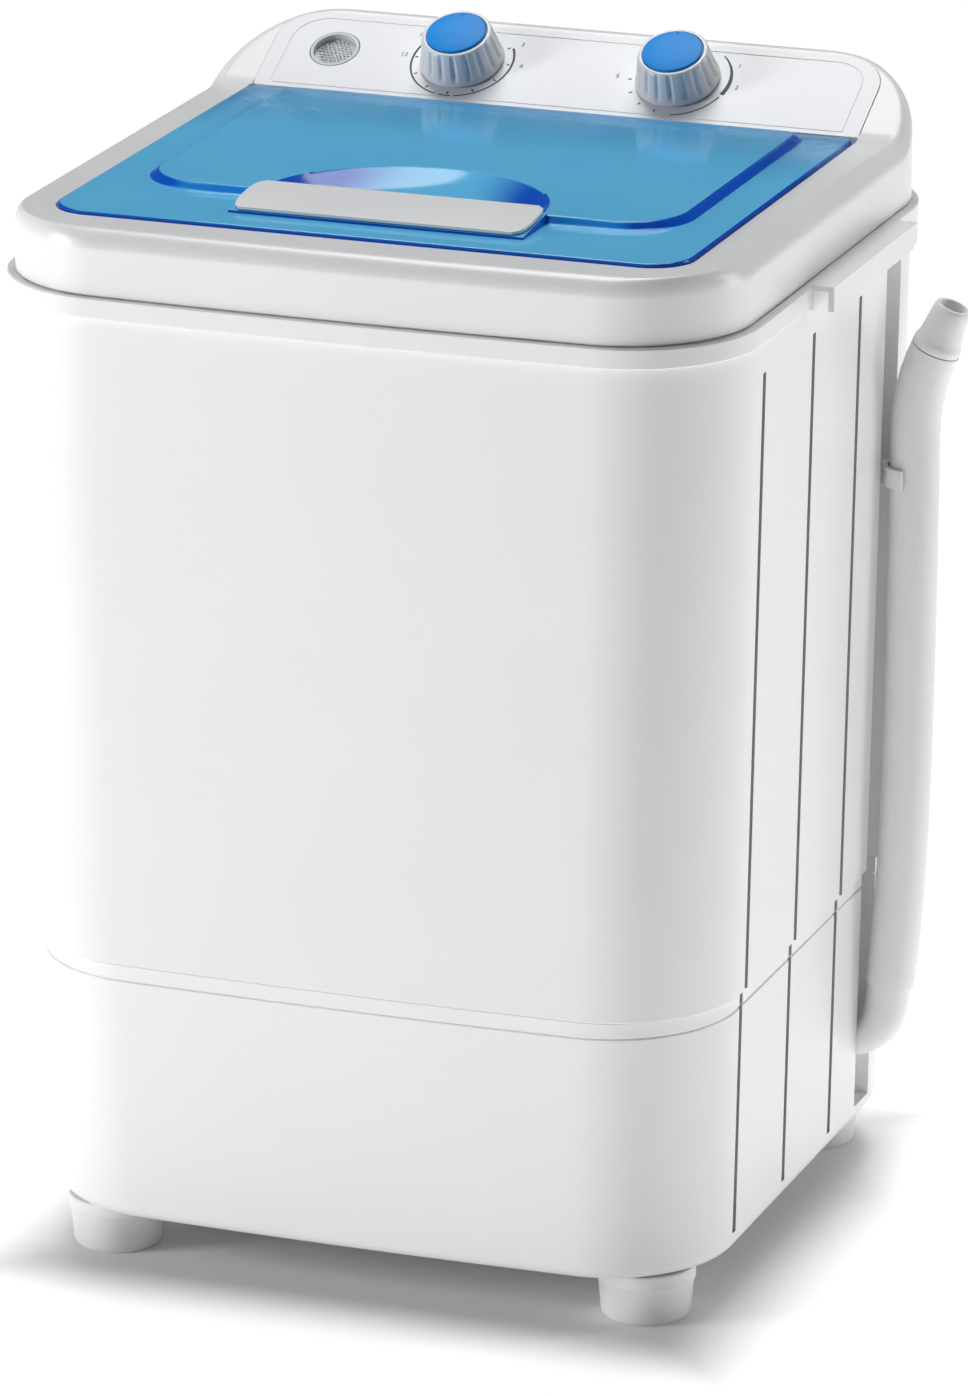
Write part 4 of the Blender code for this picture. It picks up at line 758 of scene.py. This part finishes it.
wash_strokes = [
    arc(-166, -62, 27.2, 27.2, 0.7, 1.3), arc(62, 172, 27.2, 27.2, 1.3, 0.7),
    arc(176, 190, 27.2, 27.2, 0.7, 0.7, 8)
]
wash_strokes += [tick(60 + 30 * i, 24.2, 26.0, 0.9) for i in range(9)]
printed("wash_scale_print", wash_strokes, knob_places["wash"])
spin_strokes = [
    arc(42, 108, 28.2, 27.4, 0.7, 2.6), arc(112, 172, 27.2, 27.2, 0.9, 0.6), tick(-62, 25.4, 28.6, 1.2)
]
spin_strokes += [tick(192 + 24 * i, 24.4, 26.2, 0.9) for i in range(4)]
printed("spin_scale_print", spin_strokes, knob_places["spin"])
for label, marks in (
    ("wash", ((-58, "15"), (-88, "12"), (60, "3"), (90, "6"))), ("spin", ((-92, "5"), (64, "1"), (94, "2")))
):
    for number, (at, words) in enumerate(marks):
        text = bpy.data.curves.new("%s_number_%d" % (label, number + 1), "FONT")
        text.body = words
        text.size = 4.2 * MM
        text.align_x = "CENTER"
        text.align_y = "CENTER"
        shown = bpy.data.objects.new("number", text)
        scene.collection.objects.link(shown)
        bpy.context.view_layer.update()
        mesh = bpy.data.meshes.new_from_object(shown.evaluated_get(bpy.context.evaluated_depsgraph_get()))
        bpy.data.objects.remove(shown)
        number_print = bpy.data.objects.new("%s_number_%d_print" % (label, number + 1), mesh)
        mesh.materials.clear()
        mesh.materials.append(grey_ink)
        scene.collection.objects.link(number_print)
        a = math.radians(90 - at)
        mesh.transform(Matrix.Translation(Vector((math.cos(a) * 32.5, math.sin(a) * 32.5, 0.46)) * MM))
        mesh.transform(panel_place(*knob_places[label]))
        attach(number_print, "cabinet")

# ---- Water inlet
# A grey moulded cup snapped into the panel, with a thin pierced strainer in its top.
# Its narrower spout turns forward under the deck and opens into the mouth of the tub.
inlet_top = Vector((inlet_x, inlet_y, deck_height(inlet_y)))
inlet_route = bend(
    inlet_top + panel_normal * 0.2, inlet_top - panel_normal * 38.0, (inlet_x, 114.5, 529.0), 11.0, 14
)
inlet = swept("water_inlet_moulding", inlet_route, lambda gone: 9.6, grey_satin_abs, 40, 50)
cup = turned(
    "cup", [(0.01, -10), (9, -10), (13, -8), (13, 0.2), (12.9, 0.5), (12.6, 0.6), (0.01, 0.6)],
    grey_satin_abs, steps=64
)
cup.data.transform(panel_place(inlet_x, inlet_y))
cut(inlet, cup, "UNION")
bore = swept(
    "bore", [inlet_top + panel_normal * 6] + inlet_route[1:-1] + [Vector((inlet_x, 106, 529.0))],
    lambda gone: 7.8, None, 40
)
cut(inlet, bore)
cup_bore = turned(
    "cup_bore", [(0.01, -8.0), (7.9, -6.9), (11.2, -6.6), (11.4, -6.4), (11.4, 4), (0.01, 4)], None,
    steps=64
)
cup_bore.data.transform(panel_place(inlet_x, inlet_y))
cut(inlet, cup_bore)
softened(inlet, 0.25, 2)
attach(inlet, "cabinet")
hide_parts("water_inlet_cup")
strainer = turned(
    "water_inlet_strainer", [(0.01, -3.6), (11.3, -3.6), (11.3, -2.6), (0.01, -2.6)], grey_satin_abs,
    steps=64
)
for row in range(-4, 5):
    for column in range(-4, 5):
        x, y = 2.2 * column + (1.1 if row % 2 else 0.0), 1.95 * row
        if x * x + y * y < 81:
            cut(strainer, rod("hole", 0.55, -6, 0, (x, y, 0), 8))
strainer.data.transform(panel_place(inlet_x, inlet_y))
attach(strainer, "cabinet")

# ---- Timer knobs and their blue caps
# White ABS knobs with a flared skirt and moulded finger flutes, pushed on D-shafts.
# The gloss blue cap is a separate disc let into the top, with a small pointer dent.
# Blue gloss ABS: a clear mid blue, coloured right through, with a bright skin.
blue_gloss_abs = plastic(
    "blue_gloss_abs", "#0E9DF5", "#0790EC", (0.42, 0.5), patch=18, grain=0.9, bump=0.05, IOR=1.53,
    Specular_IOR_Level=0.2
)


def fluted_knob(name, body, place):
    profile = [
        (3.3, 14.0, 0), (3.3, 0.9, 0), (7.0, 0.9, 0), (7.0, 4.0, 0), (19.0, 4.0, 0), (20.2, 1.0, 0),
        (21.4, 0.95, 0),
        (22.0, 1.2, 0), (22.2, 1.8, 0), (22.1, 2.6, 0), (21.9, 3.4, 0.1), (21.6, 4.3, 0.4),
        (21.2, 5.4, 0.9), (20.8, 7.0, 1.1),
        (20.2, 10.0, 1.1), (19.6, 13.0, 1.1), (19.1, 15.6, 1.1), (18.8, 17.0, 0.9), (18.4, 18.2, 0.5),
        (17.8, 19.1, 0.1),
        (16.9, 19.4, 0), (16.3, 19.3, 0), (15.9, 18.7, 0), (15.6, 17.7, 0), (14.6, 17.6, 0), (0.01, 17.6, 0),
    ]
    steps, sections = 216, []
    for radius, height, depth in profile:
        ring = []
        for k in range(steps):
            a = 2 * math.pi * k / steps
            dip = depth * 1.05 * max(0.0, math.cos(18 * a)) ** 1.4
            ring.append(((radius - dip) * math.cos(a), (radius - dip) * math.sin(a), height))
        sections.append(ring)
    knob = rings(name, sections, white_gloss_abs, False, 42)
    knob.data.transform(panel_place(*place))
    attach(knob, body)
    return knob


for label in ("wash", "spin"):
    body = label + "_knob"
    knob = fluted_knob(label + "_fluted_knob", body, knob_places[label])
    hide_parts(label + "_timer_knob")
    cap = turned(
        label + "_blue_cap",
        [
            (0.01, 17.9), (14.0, 17.9), (15.2, 18.9), (15.5, 19.2), (15.5, 19.7), (15.1, 20.3),
            (12.0, 20.9), (9.0, 21.25), (4.0, 21.5), (0.01, 21.6)
        ],
        blue_gloss_abs,
        steps=72,
    )
    dent = block("dent", (-1.1, 1.1), (11.6, 18.0), (20.1, 24.0))
    cut(cap, dent)
    cap.data.transform(panel_place(*knob_places[label]))
    softened(cap, 0.2, 2)
    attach(cap, body)
    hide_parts(label + "_knob_cap")

# ---- Lid with its finger scoop
# One moulding of clear-tinted blue AS plastic: a flat rim, a raised middle with its
# own rounded corners, a wedge that carries the grip, and a half-round finger scoop.
lid_half, lid_front, lid_rear, lid_top, lid_wall = 165.0, -154.0, 116.0, 548.4, 2.4
dome_half, dome_front, dome_rise = 143.0, -100.0, 3.8
hinge_x, hinge_y, hinge_z = 58.0, 113.4, 542.6


def tinted_clear(name, face_on, edge_on, deep, see_through):
    """Clear plastic with a dye: pale where seen through its thin face, and deep where a
    wall stands up and light has to travel along the sheet."""
    material = bpy.data.materials.new(name)
    material.use_nodes = True
    shader = material.node_tree.nodes["Principled BSDF"]
    coordinates = node(material, "ShaderNodeTexCoord")
    split = node(material, "ShaderNodeSeparateXYZ", links={0: coordinates.outputs["Normal"]})
    upright = node(material, "ShaderNodeMath", {"operation": "ABSOLUTE"}, links={0: split.outputs["Z"]})
    steep = node(
        material, "ShaderNodeMapRange", {"interpolation_type": "SMOOTHSTEP"}, {1: 0.97, 2: 0.7},
        {0: upright.outputs[0]}
    )
    wall_side = node(
        material, "ShaderNodeMapRange", {"interpolation_type": "SMOOTHSTEP"}, {1: 0.75, 2: 0.25},
        {0: upright.outputs[0]}
    )
    sideways = node(material, "ShaderNodeMath", {"operation": "ABSOLUTE"}, links={0: split.outputs["X"]})
    turned_away = node(
        material, "ShaderNodeMapRange", {"interpolation_type": "SMOOTHSTEP"}, {1: 0.06, 2: 0.3},
        {0: sideways.outputs[0]}
    )
    depth = node(
        material, "ShaderNodeMath", {"operation": "MAXIMUM"},
        links={0: wall_side.outputs[0], 1: turned_away.outputs[0]}
    )
    wave = node(
        material, "ShaderNodeTexNoise", values={"Scale": 1000 / 70, "Detail": 2.0},
        links={"Vector": coordinates.outputs["Object"]}
    )
    flow = node(
        material, "ShaderNodeTexNoise", values={"Scale": 1000 / 2.2, "Detail": 1.0},
        links={"Vector": coordinates.outputs["Object"]}
    )
    pale = node(
        material, "ShaderNodeMix", {"data_type": "RGBA"}, {6: linear(face_on[0]), 7: linear(face_on[1])},
        {0: wave.outputs["Fac"]}
    )
    slope = node(
        material, "ShaderNodeMix", {"data_type": "RGBA"}, {7: linear(edge_on)},
        {0: steep.outputs[0], 6: pale.outputs[2]}
    )
    colour = node(
        material, "ShaderNodeMix", {"data_type": "RGBA"}, {7: linear(deep)},
        {0: depth.outputs[0], 6: slope.outputs[2]}
    )
    clear = node(
        material, "ShaderNodeMapRange", values={1: 0.0, 2: 1.0, 3: see_through[0], 4: see_through[1]},
        links={0: steep.outputs[0]}
    )
    where = node(material, "ShaderNodeSeparateXYZ", links={0: coordinates.outputs["Object"]})
    rearwards = node(
        material, "ShaderNodeMapRange", {"interpolation_type": "SMOOTHSTEP"},
        {1: 0.0, 2: 0.1, 3: 1.0, 4: 0.5}, {0: where.outputs["Y"]}
    )
    clear = node(
        material, "ShaderNodeMath", {"operation": "MULTIPLY"},
        links={0: clear.outputs[0], 1: rearwards.outputs[0]}
    )
    gloss = node(
        material, "ShaderNodeMapRange", values={1: 0.3, 2: 0.7, 3: 0.06, 4: 0.12},
        links={0: wave.outputs["Fac"]}
    )
    skin = node(
        material, "ShaderNodeBump", values={"Strength": 0.03, "Distance": 0.0002},
        links={"Height": flow.outputs["Fac"]}
    )
    links = material.node_tree.links
    links.new(colour.outputs[2], shader.inputs["Base Color"])
    links.new(clear.outputs[0], shader.inputs["Alpha"])
    links.new(gloss.outputs[0], shader.inputs["Roughness"])
    links.new(skin.outputs[0], shader.inputs["Normal"])
    shader.inputs["IOR"].default_value = 1.57
    shader.inputs["Specular IOR Level"].default_value = 0.25
    return material


# Tinted clear AS plastic: sky blue on the flat, royal blue along its edges and folds.
tinted_blue_as = tinted_clear("tinted_blue_as", ("#74D4FF", "#62C8FF"), "#2496F4", "#0A5AD4", (0.9, 0.97))


def dome_plan(grow):
    rear = lid_rear - 8 - grow * 0.8
    return rounded(dome_half - grow, dome_front + grow, rear, 34 - grow * 0.8, 8 - grow * 0.4)


def dome_height(e):
    return dome_rise * (3 * e * e - 2 * e ** 3)


levels = []
for inset, z in ((0.5, 543.8), (0.0, 544.3), (0.0, lid_top - 0.9), (0.3, lid_top - 0.3), (0.9, lid_top)):
    levels.append((rounded(lid_half - inset, lid_front + inset, lid_rear - inset, 21 - inset, 5 - inset), z))
for t in range(6):
    levels.append((dome_plan(5 * (t / 5)), lid_top + 0.05 + dome_height(t / 5)))
lid = shell("lid_moulding", levels, tinted_blue_as)
wedge_faces = [(0, 1, 2, 3), (7, 6, 5, 4), (0, 4, 5, 1), (1, 5, 6, 2), (2, 6, 7, 3), (3, 7, 4, 0)]


def wedge(name, half, corners, material=None):
    """A bar across the lid from its four corner points (y, z) in mm."""
    points = [(x, y, z) for x in (-half, half) for y, z in corners]
    return piece_of(name, points, [tuple(reversed(face)) for face in wedge_faces], material)


grip_front, grip_rear, grip_half = -132.0, -97.3, 77.0
cut(
    lid,
    wedge(
        "wedge", grip_half,
        (
            (grip_front, lid_top - 1), (grip_rear, lid_top - 1), (grip_rear, lid_top + 5.0),
            (grip_front, lid_top + 1.2)
        )
    ),
    "UNION",
)
inside = [
    (
        rounded(lid_half - 2.2, lid_front + 2.2, lid_rear - 2.2, 18.8, 2.8), z
    ) for z in (530, lid_top - lid_wall)
]
for t in range(6):
    inside.append((dome_plan(1 + 5 * (t / 5)), lid_top - lid_wall + 0.05 + dome_height(t / 5)))
cut(lid, shell("inside", inside))
cut(
    lid,
    wedge(
        "wedge_inside", grip_half - 2.2,
        (
            (grip_front + 4, lid_top - 6), (grip_rear - 2.4, lid_top - 6), (grip_rear - 2.4, lid_top + 2.6),
            (grip_front + 4, lid_top - 0.4)
        ),
    ),
)
for side in (-1, 1):
    cut(
        lid,
        block(
            "notch", (side * hinge_x - 33, side * hinge_x + 33), (111.5, 120.5), (534.0, lid_top - lid_wall)
        )
    )
scoop_r, rim = 76.0, lid_top + dome_rise


def scoop(name, grow, z_floor, z_rim, front, rows=8):
    """Half a bowl behind the grip, its wall curving down to a floor against the grip."""
    steps, sections = 40, []
    for row in range(rows + 1):
        t = row / rows
        curve = 1 - math.cos(t * math.pi / 2)
        wide = scoop_r * (0.62 + 0.38 * t) + grow
        deep = scoop_r * (0.45 + 0.55 * t) + grow
        ring = []
        for i in range(steps + 1):
            a = math.pi * i / steps
            ring.append(
                (math.cos(a) * wide, front + math.sin(a) * deep, z_floor + (z_rim - z_floor) * curve ** 0.8)
            )
        sections.append(ring)
    return rings(name, sections, tinted_blue_as)


cut(lid, scoop("scoop_shell", 2.2, rim - 13.2, rim - 0.6, grip_rear - 2.2), "UNION")
cut(lid, scoop("scoop_inside", 0.0, rim - 11.0, rim + 1.2, grip_rear + 0.01))
softened(lid, 0.35, 2, 28, 25)
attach(lid, "lid_body")
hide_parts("lid")

# ---- Lid grip
# A white ABS strip bonded to the wedge, slightly crowned.
rise_per = (5.0 - 1.2) / (grip_rear - grip_front)
strip_front, strip_rear = grip_front + 0.6, grip_rear + 4.0
low_front, low_rear = lid_top + 1.2 + 0.6 * rise_per + 0.35, lid_top + 5.0 + 4.0 * rise_per + 0.35
grip_points, grip_faces = [], []
across, along = 24, 10
for side in (0, 1):
    for i in range(across + 1):
        for j in range(along + 1):
            t = 2 * j / along - 1
            narrow = 5.0 * (1 - math.sqrt(max(0.0, 1 - abs(t) ** 3))) + 0.6
            x = (grip_half - narrow) * (2 * i / across - 1)
            y = strip_front + (strip_rear - strip_front) * j / along
            z = low_front + (low_rear - low_front) * j / along + side * (
                1.75 + 0.5 * math.sin(math.pi * j / along)
            )
            grip_points.append((x, y, z))
step = (across + 1) * (along + 1)
for i in range(across):
    for j in range(along):
        a, b = i * (along + 1) + j, (i + 1) * (along + 1) + j
        grip_faces += [(a, a + 1, b + 1, b), (step + a, step + b, step + b + 1, step + a + 1)]
for i in range(across):
    a, b = i * (along + 1), (i + 1) * (along + 1)
    grip_faces += [(a, b, step + b, step + a), (b + along, a + along, step + a + along, step + b + along)]
for j in range(along):
    a, b = j, across * (along + 1) + j
    grip_faces += [(a + 1, a, step + a, step + a + 1), (b, b + 1, step + b + 1, step + b)]
grip = piece_of("lid_grip_strip", grip_points, grip_faces, white_satin_abs)
softened(grip, 0.6, 3, 40)
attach(grip, "lid_body")
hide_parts("lid_handle")

# ---- Hinge blocks
# Ribbed blocks of the same blue plastic, thick enough to look deep blue through the
# lid, each turning on a plain steel pin between two ears of the cover.
# Thick tinted AS plastic: the lid's blue several times deeper.
thick_blue_as = plastic(
    "thick_blue_as", "#0F5FD0", "#0A4FC0", (0.12, 0.2), patch=12, grain=1.2, bump=0.06, IOR=1.57,
    Specular_IOR_Level=0.6
)
for side, label in ((-1, "left"), (1, "right")):
    x = side * hinge_x
    hinge = block(
        "hinge_block_" + label, (x - 26, x + 26), (109.0, lid_rear - 0.2),
        (535.5, lid_top - lid_wall - 0.3), thick_blue_as
    )
    for i in range(6):
        gap = x - 19.5 + 7.8 * i
        cut(hinge, block("gap", (gap - 1.6, gap + 1.6), (103, 111), (532, 544)))
    cut(hinge, rod("bore", 2.2, -34, 34, (x, hinge_y, hinge_z), 24, sideways))
    softened(hinge, 0.35, 2)
    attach(hinge, "lid_body")
    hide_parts("lid_hinge_" + label)


# ---- Wash tub
# A deep one-piece tub moulded in pale polypropylene, hung by its rolled rim under the
# cover, smooth inside so that laundry slides on it.
# Polypropylene: faintly translucent, slightly blue-white and softer in shine than ABS.
pale_polypropylene = plastic(
    "pale_polypropylene", "#EDF1F4", "#E0E6EB", (0.26, 0.36), patch=80, grain=2.4, bump=0.06,
    Subsurface_Weight=0.1, Subsurface_Radius=(0.003, 0.003, 0.004), IOR=1.49,
)
tub_y = -8.0
tub_profile = [
    (15.4, 178.0), (15.4, 183.0), (15.8, 183.4), (19.6, 183.2), (24.0, 180.6), (143.5, 180.6),
    (147.0, 181.2), (150.4, 182.8),
    (152.4, 185.4), (153.5, 189.0), (154.0, 193.0), (163.6, 503.0), (164.2, 505.2), (165.4, 506.6),
    (167.0, 507.0),
    (171.0, 507.0), (171.8, 506.6), (172.0, 505.8), (172.0, 501.4), (171.6, 501.0), (170.2, 501.0),
    (169.8, 501.4),
    (169.8, 504.2), (169.4, 504.6), (167.4, 504.4), (166.4, 503.6), (166.0, 502.0), (156.0, 191.0),
    (155.0, 185.0),
    (152.6, 181.4), (149.0, 179.0), (145.0, 178.0), (15.4, 178.0),
]
tub = turned("wash_tub_moulding", tub_profile, pale_polypropylene, (0, tub_y, 0), 144, None, 30)
cut(tub, rod("drain", 11.9, 160, 200, (112.0, 70.0, 0), 40))
softened(tub, 0.2, 1, 50, 30)
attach(tub, "cabinet")
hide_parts("wash_tub")

# ---- Spin basket
# A lift-out basket in the same polypropylene, with tall slots round its side and
# radial slots in its floor that let the water out as it spins.
basket_profile = [
    (9.0, 219.2), (94.0, 219.2), (97.0, 220.2), (98.8, 222.6), (99.8, 227.0), (110.6, 391.0),
    (111.6, 394.4), (113.4, 397.2),
    (114.0, 399.4), (114.6, 400.0), (118.4, 400.0), (119.0, 399.4), (119.0, 394.6), (118.4, 394.0),
    (116.2, 394.0), (115.8, 394.4),
    (113.2, 391.6), (113.0, 391.0), (102.0, 227.0), (100.8, 221.4), (98.4, 218.2), (95.0, 217.0),
    (9.0, 217.0), (9.0, 219.2),
]
basket = turned("spin_basket_moulding", basket_profile, pale_polypropylene, (0, tub_y, 0), 108, None, 30)


def bars(name, places):
    """Many turned bars in one cutter: (middle, size, turn about Z), in mm."""
    work = bmesh.new()
    for middle, size, turn in places:
        new = bmesh.ops.create_cube(work, size=1.0)["verts"]
        bmesh.ops.scale(work, vec=Vector(size) * MM, verts=new)
        bmesh.ops.transform(
            work, matrix=Matrix.Translation(Vector(middle) * MM) @ Matrix.Rotation(turn, 4, "Z"), verts=new
        )
    mesh = bpy.data.meshes.new(name)
    work.to_mesh(mesh)
    work.free()
    made = bpy.data.objects.new(name, mesh)
    scene.collection.objects.link(made)
    return made


slots = []
for row in range(2):
    for i in range(9):
        a = math.pi / 9 * (2 * i + row % 2)
        slots.append(((math.cos(a) * 107, math.sin(a) * 107 + tub_y, 260.0 + 75 * row), (30.0, 3.6, 48.0), a))
cut(basket, bars("side_slots", slots))
slots = []
for i in range(8):
    a = math.pi / 4 * i
    slots.append(((math.cos(a) * 60, math.sin(a) * 60 + tub_y, 217.0), (50.0, 4.0, 12.0), a))
cut(basket, bars("floor_slots", slots))
softened(basket, 0.3, 2, 50, 30)
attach(basket, "basket")
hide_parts("spin_basket")

# ---- Pulsator
# A blue ABS disc with four rounded vanes that stir the water. It sits on the drive
# shaft under the basket and is held by one screw.
disc_profile = [
    (5.3, 206.4), (5.3, 190.0), (13.0, 190.0), (13.0, 198.0), (22.0, 198.0), (40.0, 192.5), (119.0, 194.0),
    (124.0, 200.0),
    (124.2, 201.6), (124.0, 203.0), (121.0, 200.4), (118.0, 198.0), (104.0, 196.6), (90.0, 196.0),
    (78.0, 196.4), (66.0, 197.2),
    (54.0, 198.4), (40.0, 200.0), (32.0, 202.4), (22.0, 207.0), (17.0, 210.6), (12.0, 213.0), (8.2, 213.6),
    (7.4, 213.2),
    (7.4, 210.0), (2.9, 210.0), (2.9, 206.4), (5.3, 206.4),
]
steps, sections = 192, []
for index, (radius, height) in enumerate(disc_profile):
    ring = []
    for k in range(steps):
        a = 2 * math.pi * k / steps
        lift = 0.0
        if 10 <= index <= 20 and radius < 119:
            across = radius * math.sin(4 * (a - math.pi / 4)) / 4
            crest = 209.0 - 1.0 * abs(radius - 66) / 46
            blend = math.exp(-((across / 5.4) ** 4)) * min(1.0, max(0.0, (114 - radius) / 8))
            blend *= 1.0 if math.cos(4 * (a - math.pi / 4)) > 0 else 0.0
            lift = max(0.0, crest - height) * blend
        ring.append((radius * math.cos(a), radius * math.sin(a), height + lift))
    sections.append(ring)
pulsator = rings("pulsator_moulding", sections, blue_gloss_abs, False, 50)
pulsator.data.transform(Matrix.Translation((0, tub_y * MM, 0)))
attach(pulsator, "wash_drive")
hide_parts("pulsator")


# ---- Timers, pins, screws, bearings and drive
# The small and hidden parts keep their frame shapes. Each takes the finish of the
# real part: zinc plate, turned steel, die-cast alloy, bronze, rubber or plain ABS.
def metal(name, light, dark, rough, grain, bump, stretch=(1, 1, 1)):
    """Bare or plated metal: tone and roughness follow one grain of the given width in mm."""
    material = bpy.data.materials.new(name)
    material.use_nodes = True
    shader = material.node_tree.nodes["Principled BSDF"]
    place = node(material, "ShaderNodeTexCoord").outputs["Object"]
    turned_place = node(material, "ShaderNodeMapping", values={"Scale": stretch}, links={"Vector": place})
    marks = node(
        material, "ShaderNodeTexNoise", values={"Scale": 1000 / grain, "Detail": 4.0, "Roughness": 0.6},
        links={"Vector": turned_place.outputs[0]},
    )
    tone = node(
        material, "ShaderNodeMix", {"data_type": "RGBA"}, {6: linear(dark), 7: linear(light)},
        {0: marks.outputs["Fac"]}
    )
    dull = node(
        material, "ShaderNodeMapRange", values={1: 0.1, 2: 0.9, 3: rough[0], 4: rough[1]},
        links={0: marks.outputs["Fac"]}
    )
    relief = node(
        material, "ShaderNodeBump", values={"Strength": bump, "Distance": 0.0002},
        links={"Height": marks.outputs["Fac"]}
    )
    links = material.node_tree.links
    links.new(tone.outputs[2], shader.inputs["Base Color"])
    links.new(dull.outputs[0], shader.inputs["Roughness"])
    links.new(relief.outputs[0], shader.inputs["Normal"])
    shader.inputs["Metallic"].default_value = 1.0
    return material


# Zinc-plated steel: cool grey with soft spangles some 6 mm across.
zinc_plated_steel = metal("zinc_plated_steel", "#C4C8CC", "#A6ABB0", (0.28, 0.45), 6.0, 0.08)
# Turned steel: brighter, with fine tool rings along the part.
turned_bright_steel = metal("turned_bright_steel", "#CDD0D3", "#B4B8BC", (0.16, 0.3), 0.8, 0.12, (1, 1, 6))
# Die-cast alloy: even grey with a fine sandy skin.
die_cast_alloy = metal("die_cast_alloy", "#B9BCBE", "#A2A6A9", (0.4, 0.55), 1.2, 0.25)
# Sintered bronze: warm brown metal with small oil-dark pores.
sintered_bronze = metal("sintered_bronze", "#B98A4E", "#8A6233", (0.35, 0.5), 0.9, 0.3)
# Black rubber: near black, matt, with a dusty unevenness.
black_rubber = plastic(
    "black_rubber", "#1E1F20", "#131415", (0.6, 0.78), patch=10, grain=0.6, bump=0.25, IOR=1.52
)
# Laminated motor steel: dark blued sheets stacked 0.5 mm apart, drawn here at 1.5 mm so that they show.
laminated_steel = metal("laminated_steel", "#7A7F86", "#4C5158", (0.35, 0.5), 1.5, 0.3, (0.05, 0.05, 1))
finishes = {
    turned_bright_steel: (
        "hinge_pin_left", "hinge_pin_right", "pulsator_screw", "drive_shaft", "motor_shaft"
    ),
    zinc_plated_steel: (
        *("%s_screw_%d" % (kind, i) for kind in ("rear_cover", "drive_plate") for i in range(1, 5)),
        "drive_plate", "pulley_nut",
    ),
    die_cast_alloy: ("shaft_housing", "driven_pulley", "motor_pulley", "motor_top_cap", "motor_bottom_cap"),
    sintered_bronze: ("upper_bushing", "lower_bushing"),
    black_rubber: ("shaft_seal", "drive_belt", "cord_gland"),
    laminated_steel: ("motor_stator",),
    grey_satin_abs: (
        "bottom_plate", "wash_timer_shaft", "spin_timer_shaft", "wash_timer_body", "spin_timer_body",
        "run_capacitor"
    ),
}
for finish, names in finishes.items():
    for name in names:
        mesh = nodes[name].data
        mesh.materials.clear()
        mesh.materials.append(finish)

# ---- Studio
# A pale seamless floor with painted light, glowing a little clear of the machine and not
# beside it so that a painted shadow hugs its footprint, two tall soft lights with a gap
# between them before the right corner, a low strip in front to lift the feet and the
# lower edge, and a soft light overhead.
floor_mesh = bpy.data.meshes.new("studio_floor")
floor_mesh.from_pydata([(-14, -10, 0), (14, -10, 0), (14, 22, 0), (-14, 22, 0)], [], [(0, 1, 2, 3)])
floor = bpy.data.objects.new("studio_floor", floor_mesh)
scene.collection.objects.link(floor)
# Painted backdrop paper: near-white with a barely visible tooth, and painted light where it glows clear of
# the machine.
backdrop_paper = plastic("backdrop_paper", "#FBFBFB", "#F8F8F8", (0.8, 0.9), patch=900, grain=3.0, bump=0.02)
paper_shader = backdrop_paper.node_tree.nodes["Principled BSDF"]
paper_shader.inputs["Specular IOR Level"].default_value = 0.1
paper_shader.inputs["Emission Color"].default_value = linear("#FFFFFF")
floor_place = node(
    backdrop_paper, "ShaderNodeSeparateXYZ",
    links={0: node(backdrop_paper, "ShaderNodeTexCoord").outputs["Object"]}
)
across = node(
    backdrop_paper, "ShaderNodeMath", {"operation": "ABSOLUTE"}, links={0: floor_place.outputs["X"]}
)
along = node(backdrop_paper, "ShaderNodeMath", {"operation": "ABSOLUTE"}, links={0: floor_place.outputs["Y"]})
far_off = node(
    backdrop_paper, "ShaderNodeMath", {"operation": "MAXIMUM"},
    links={0: across.outputs[0], 1: along.outputs[0]}
)
# Painted light and shadow: no glow within 0.16 m of the middle along either axis and full glow past 0.225 m,
# so the dark ground shadow keeps to a box round the machine.
glow = node(
    backdrop_paper, "ShaderNodeMapRange", {"interpolation_type": "SMOOTHSTEP"},
    {1: 0.16, 2: 0.225, 3: 0.0, 4: 0.62}, {0: far_off.outputs[0]}
)
backdrop_paper.node_tree.links.new(glow.outputs[0], paper_shader.inputs["Emission Strength"])
floor_mesh.materials.append(backdrop_paper)


def soft_light(name, place, target, width, height, power):
    data = bpy.data.lights.new(name, "AREA")
    data.shape = "RECTANGLE"
    data.size, data.size_y = width, height
    data.energy = power
    light = bpy.data.objects.new(name, data)
    light.location = place
    light.rotation_euler = (Vector(place) - Vector(target)).to_track_quat("Z", "Y").to_euler()
    scene.collection.objects.link(light)


soft_light("front_left_light", (-3.25, -2.3, 1.1), (0, 0, 0.3), 1.0, 2.2, 80)
soft_light("low_front_light", (-1.3, -3.2, 0.12), (0, 0, 0.1), 1.6, 0.2, 5)
soft_light("right_light", (2.7, 1.5, 0.9), (0, 0, 0.3), 0.9, 2.0, 26)
soft_light("overhead_light", (-0.3, 1.0, 3.2), (0, 0, 0.5), 1.8, 1.8, 62)
world = bpy.data.worlds.new("studio_air")
world.use_nodes = True
world.node_tree.nodes["Background"].inputs["Color"].default_value = linear("#F4F6F8")
world.node_tree.nodes["Background"].inputs["Strength"].default_value = 0.06
scene.world = world
scene.view_settings.view_transform = "Standard"
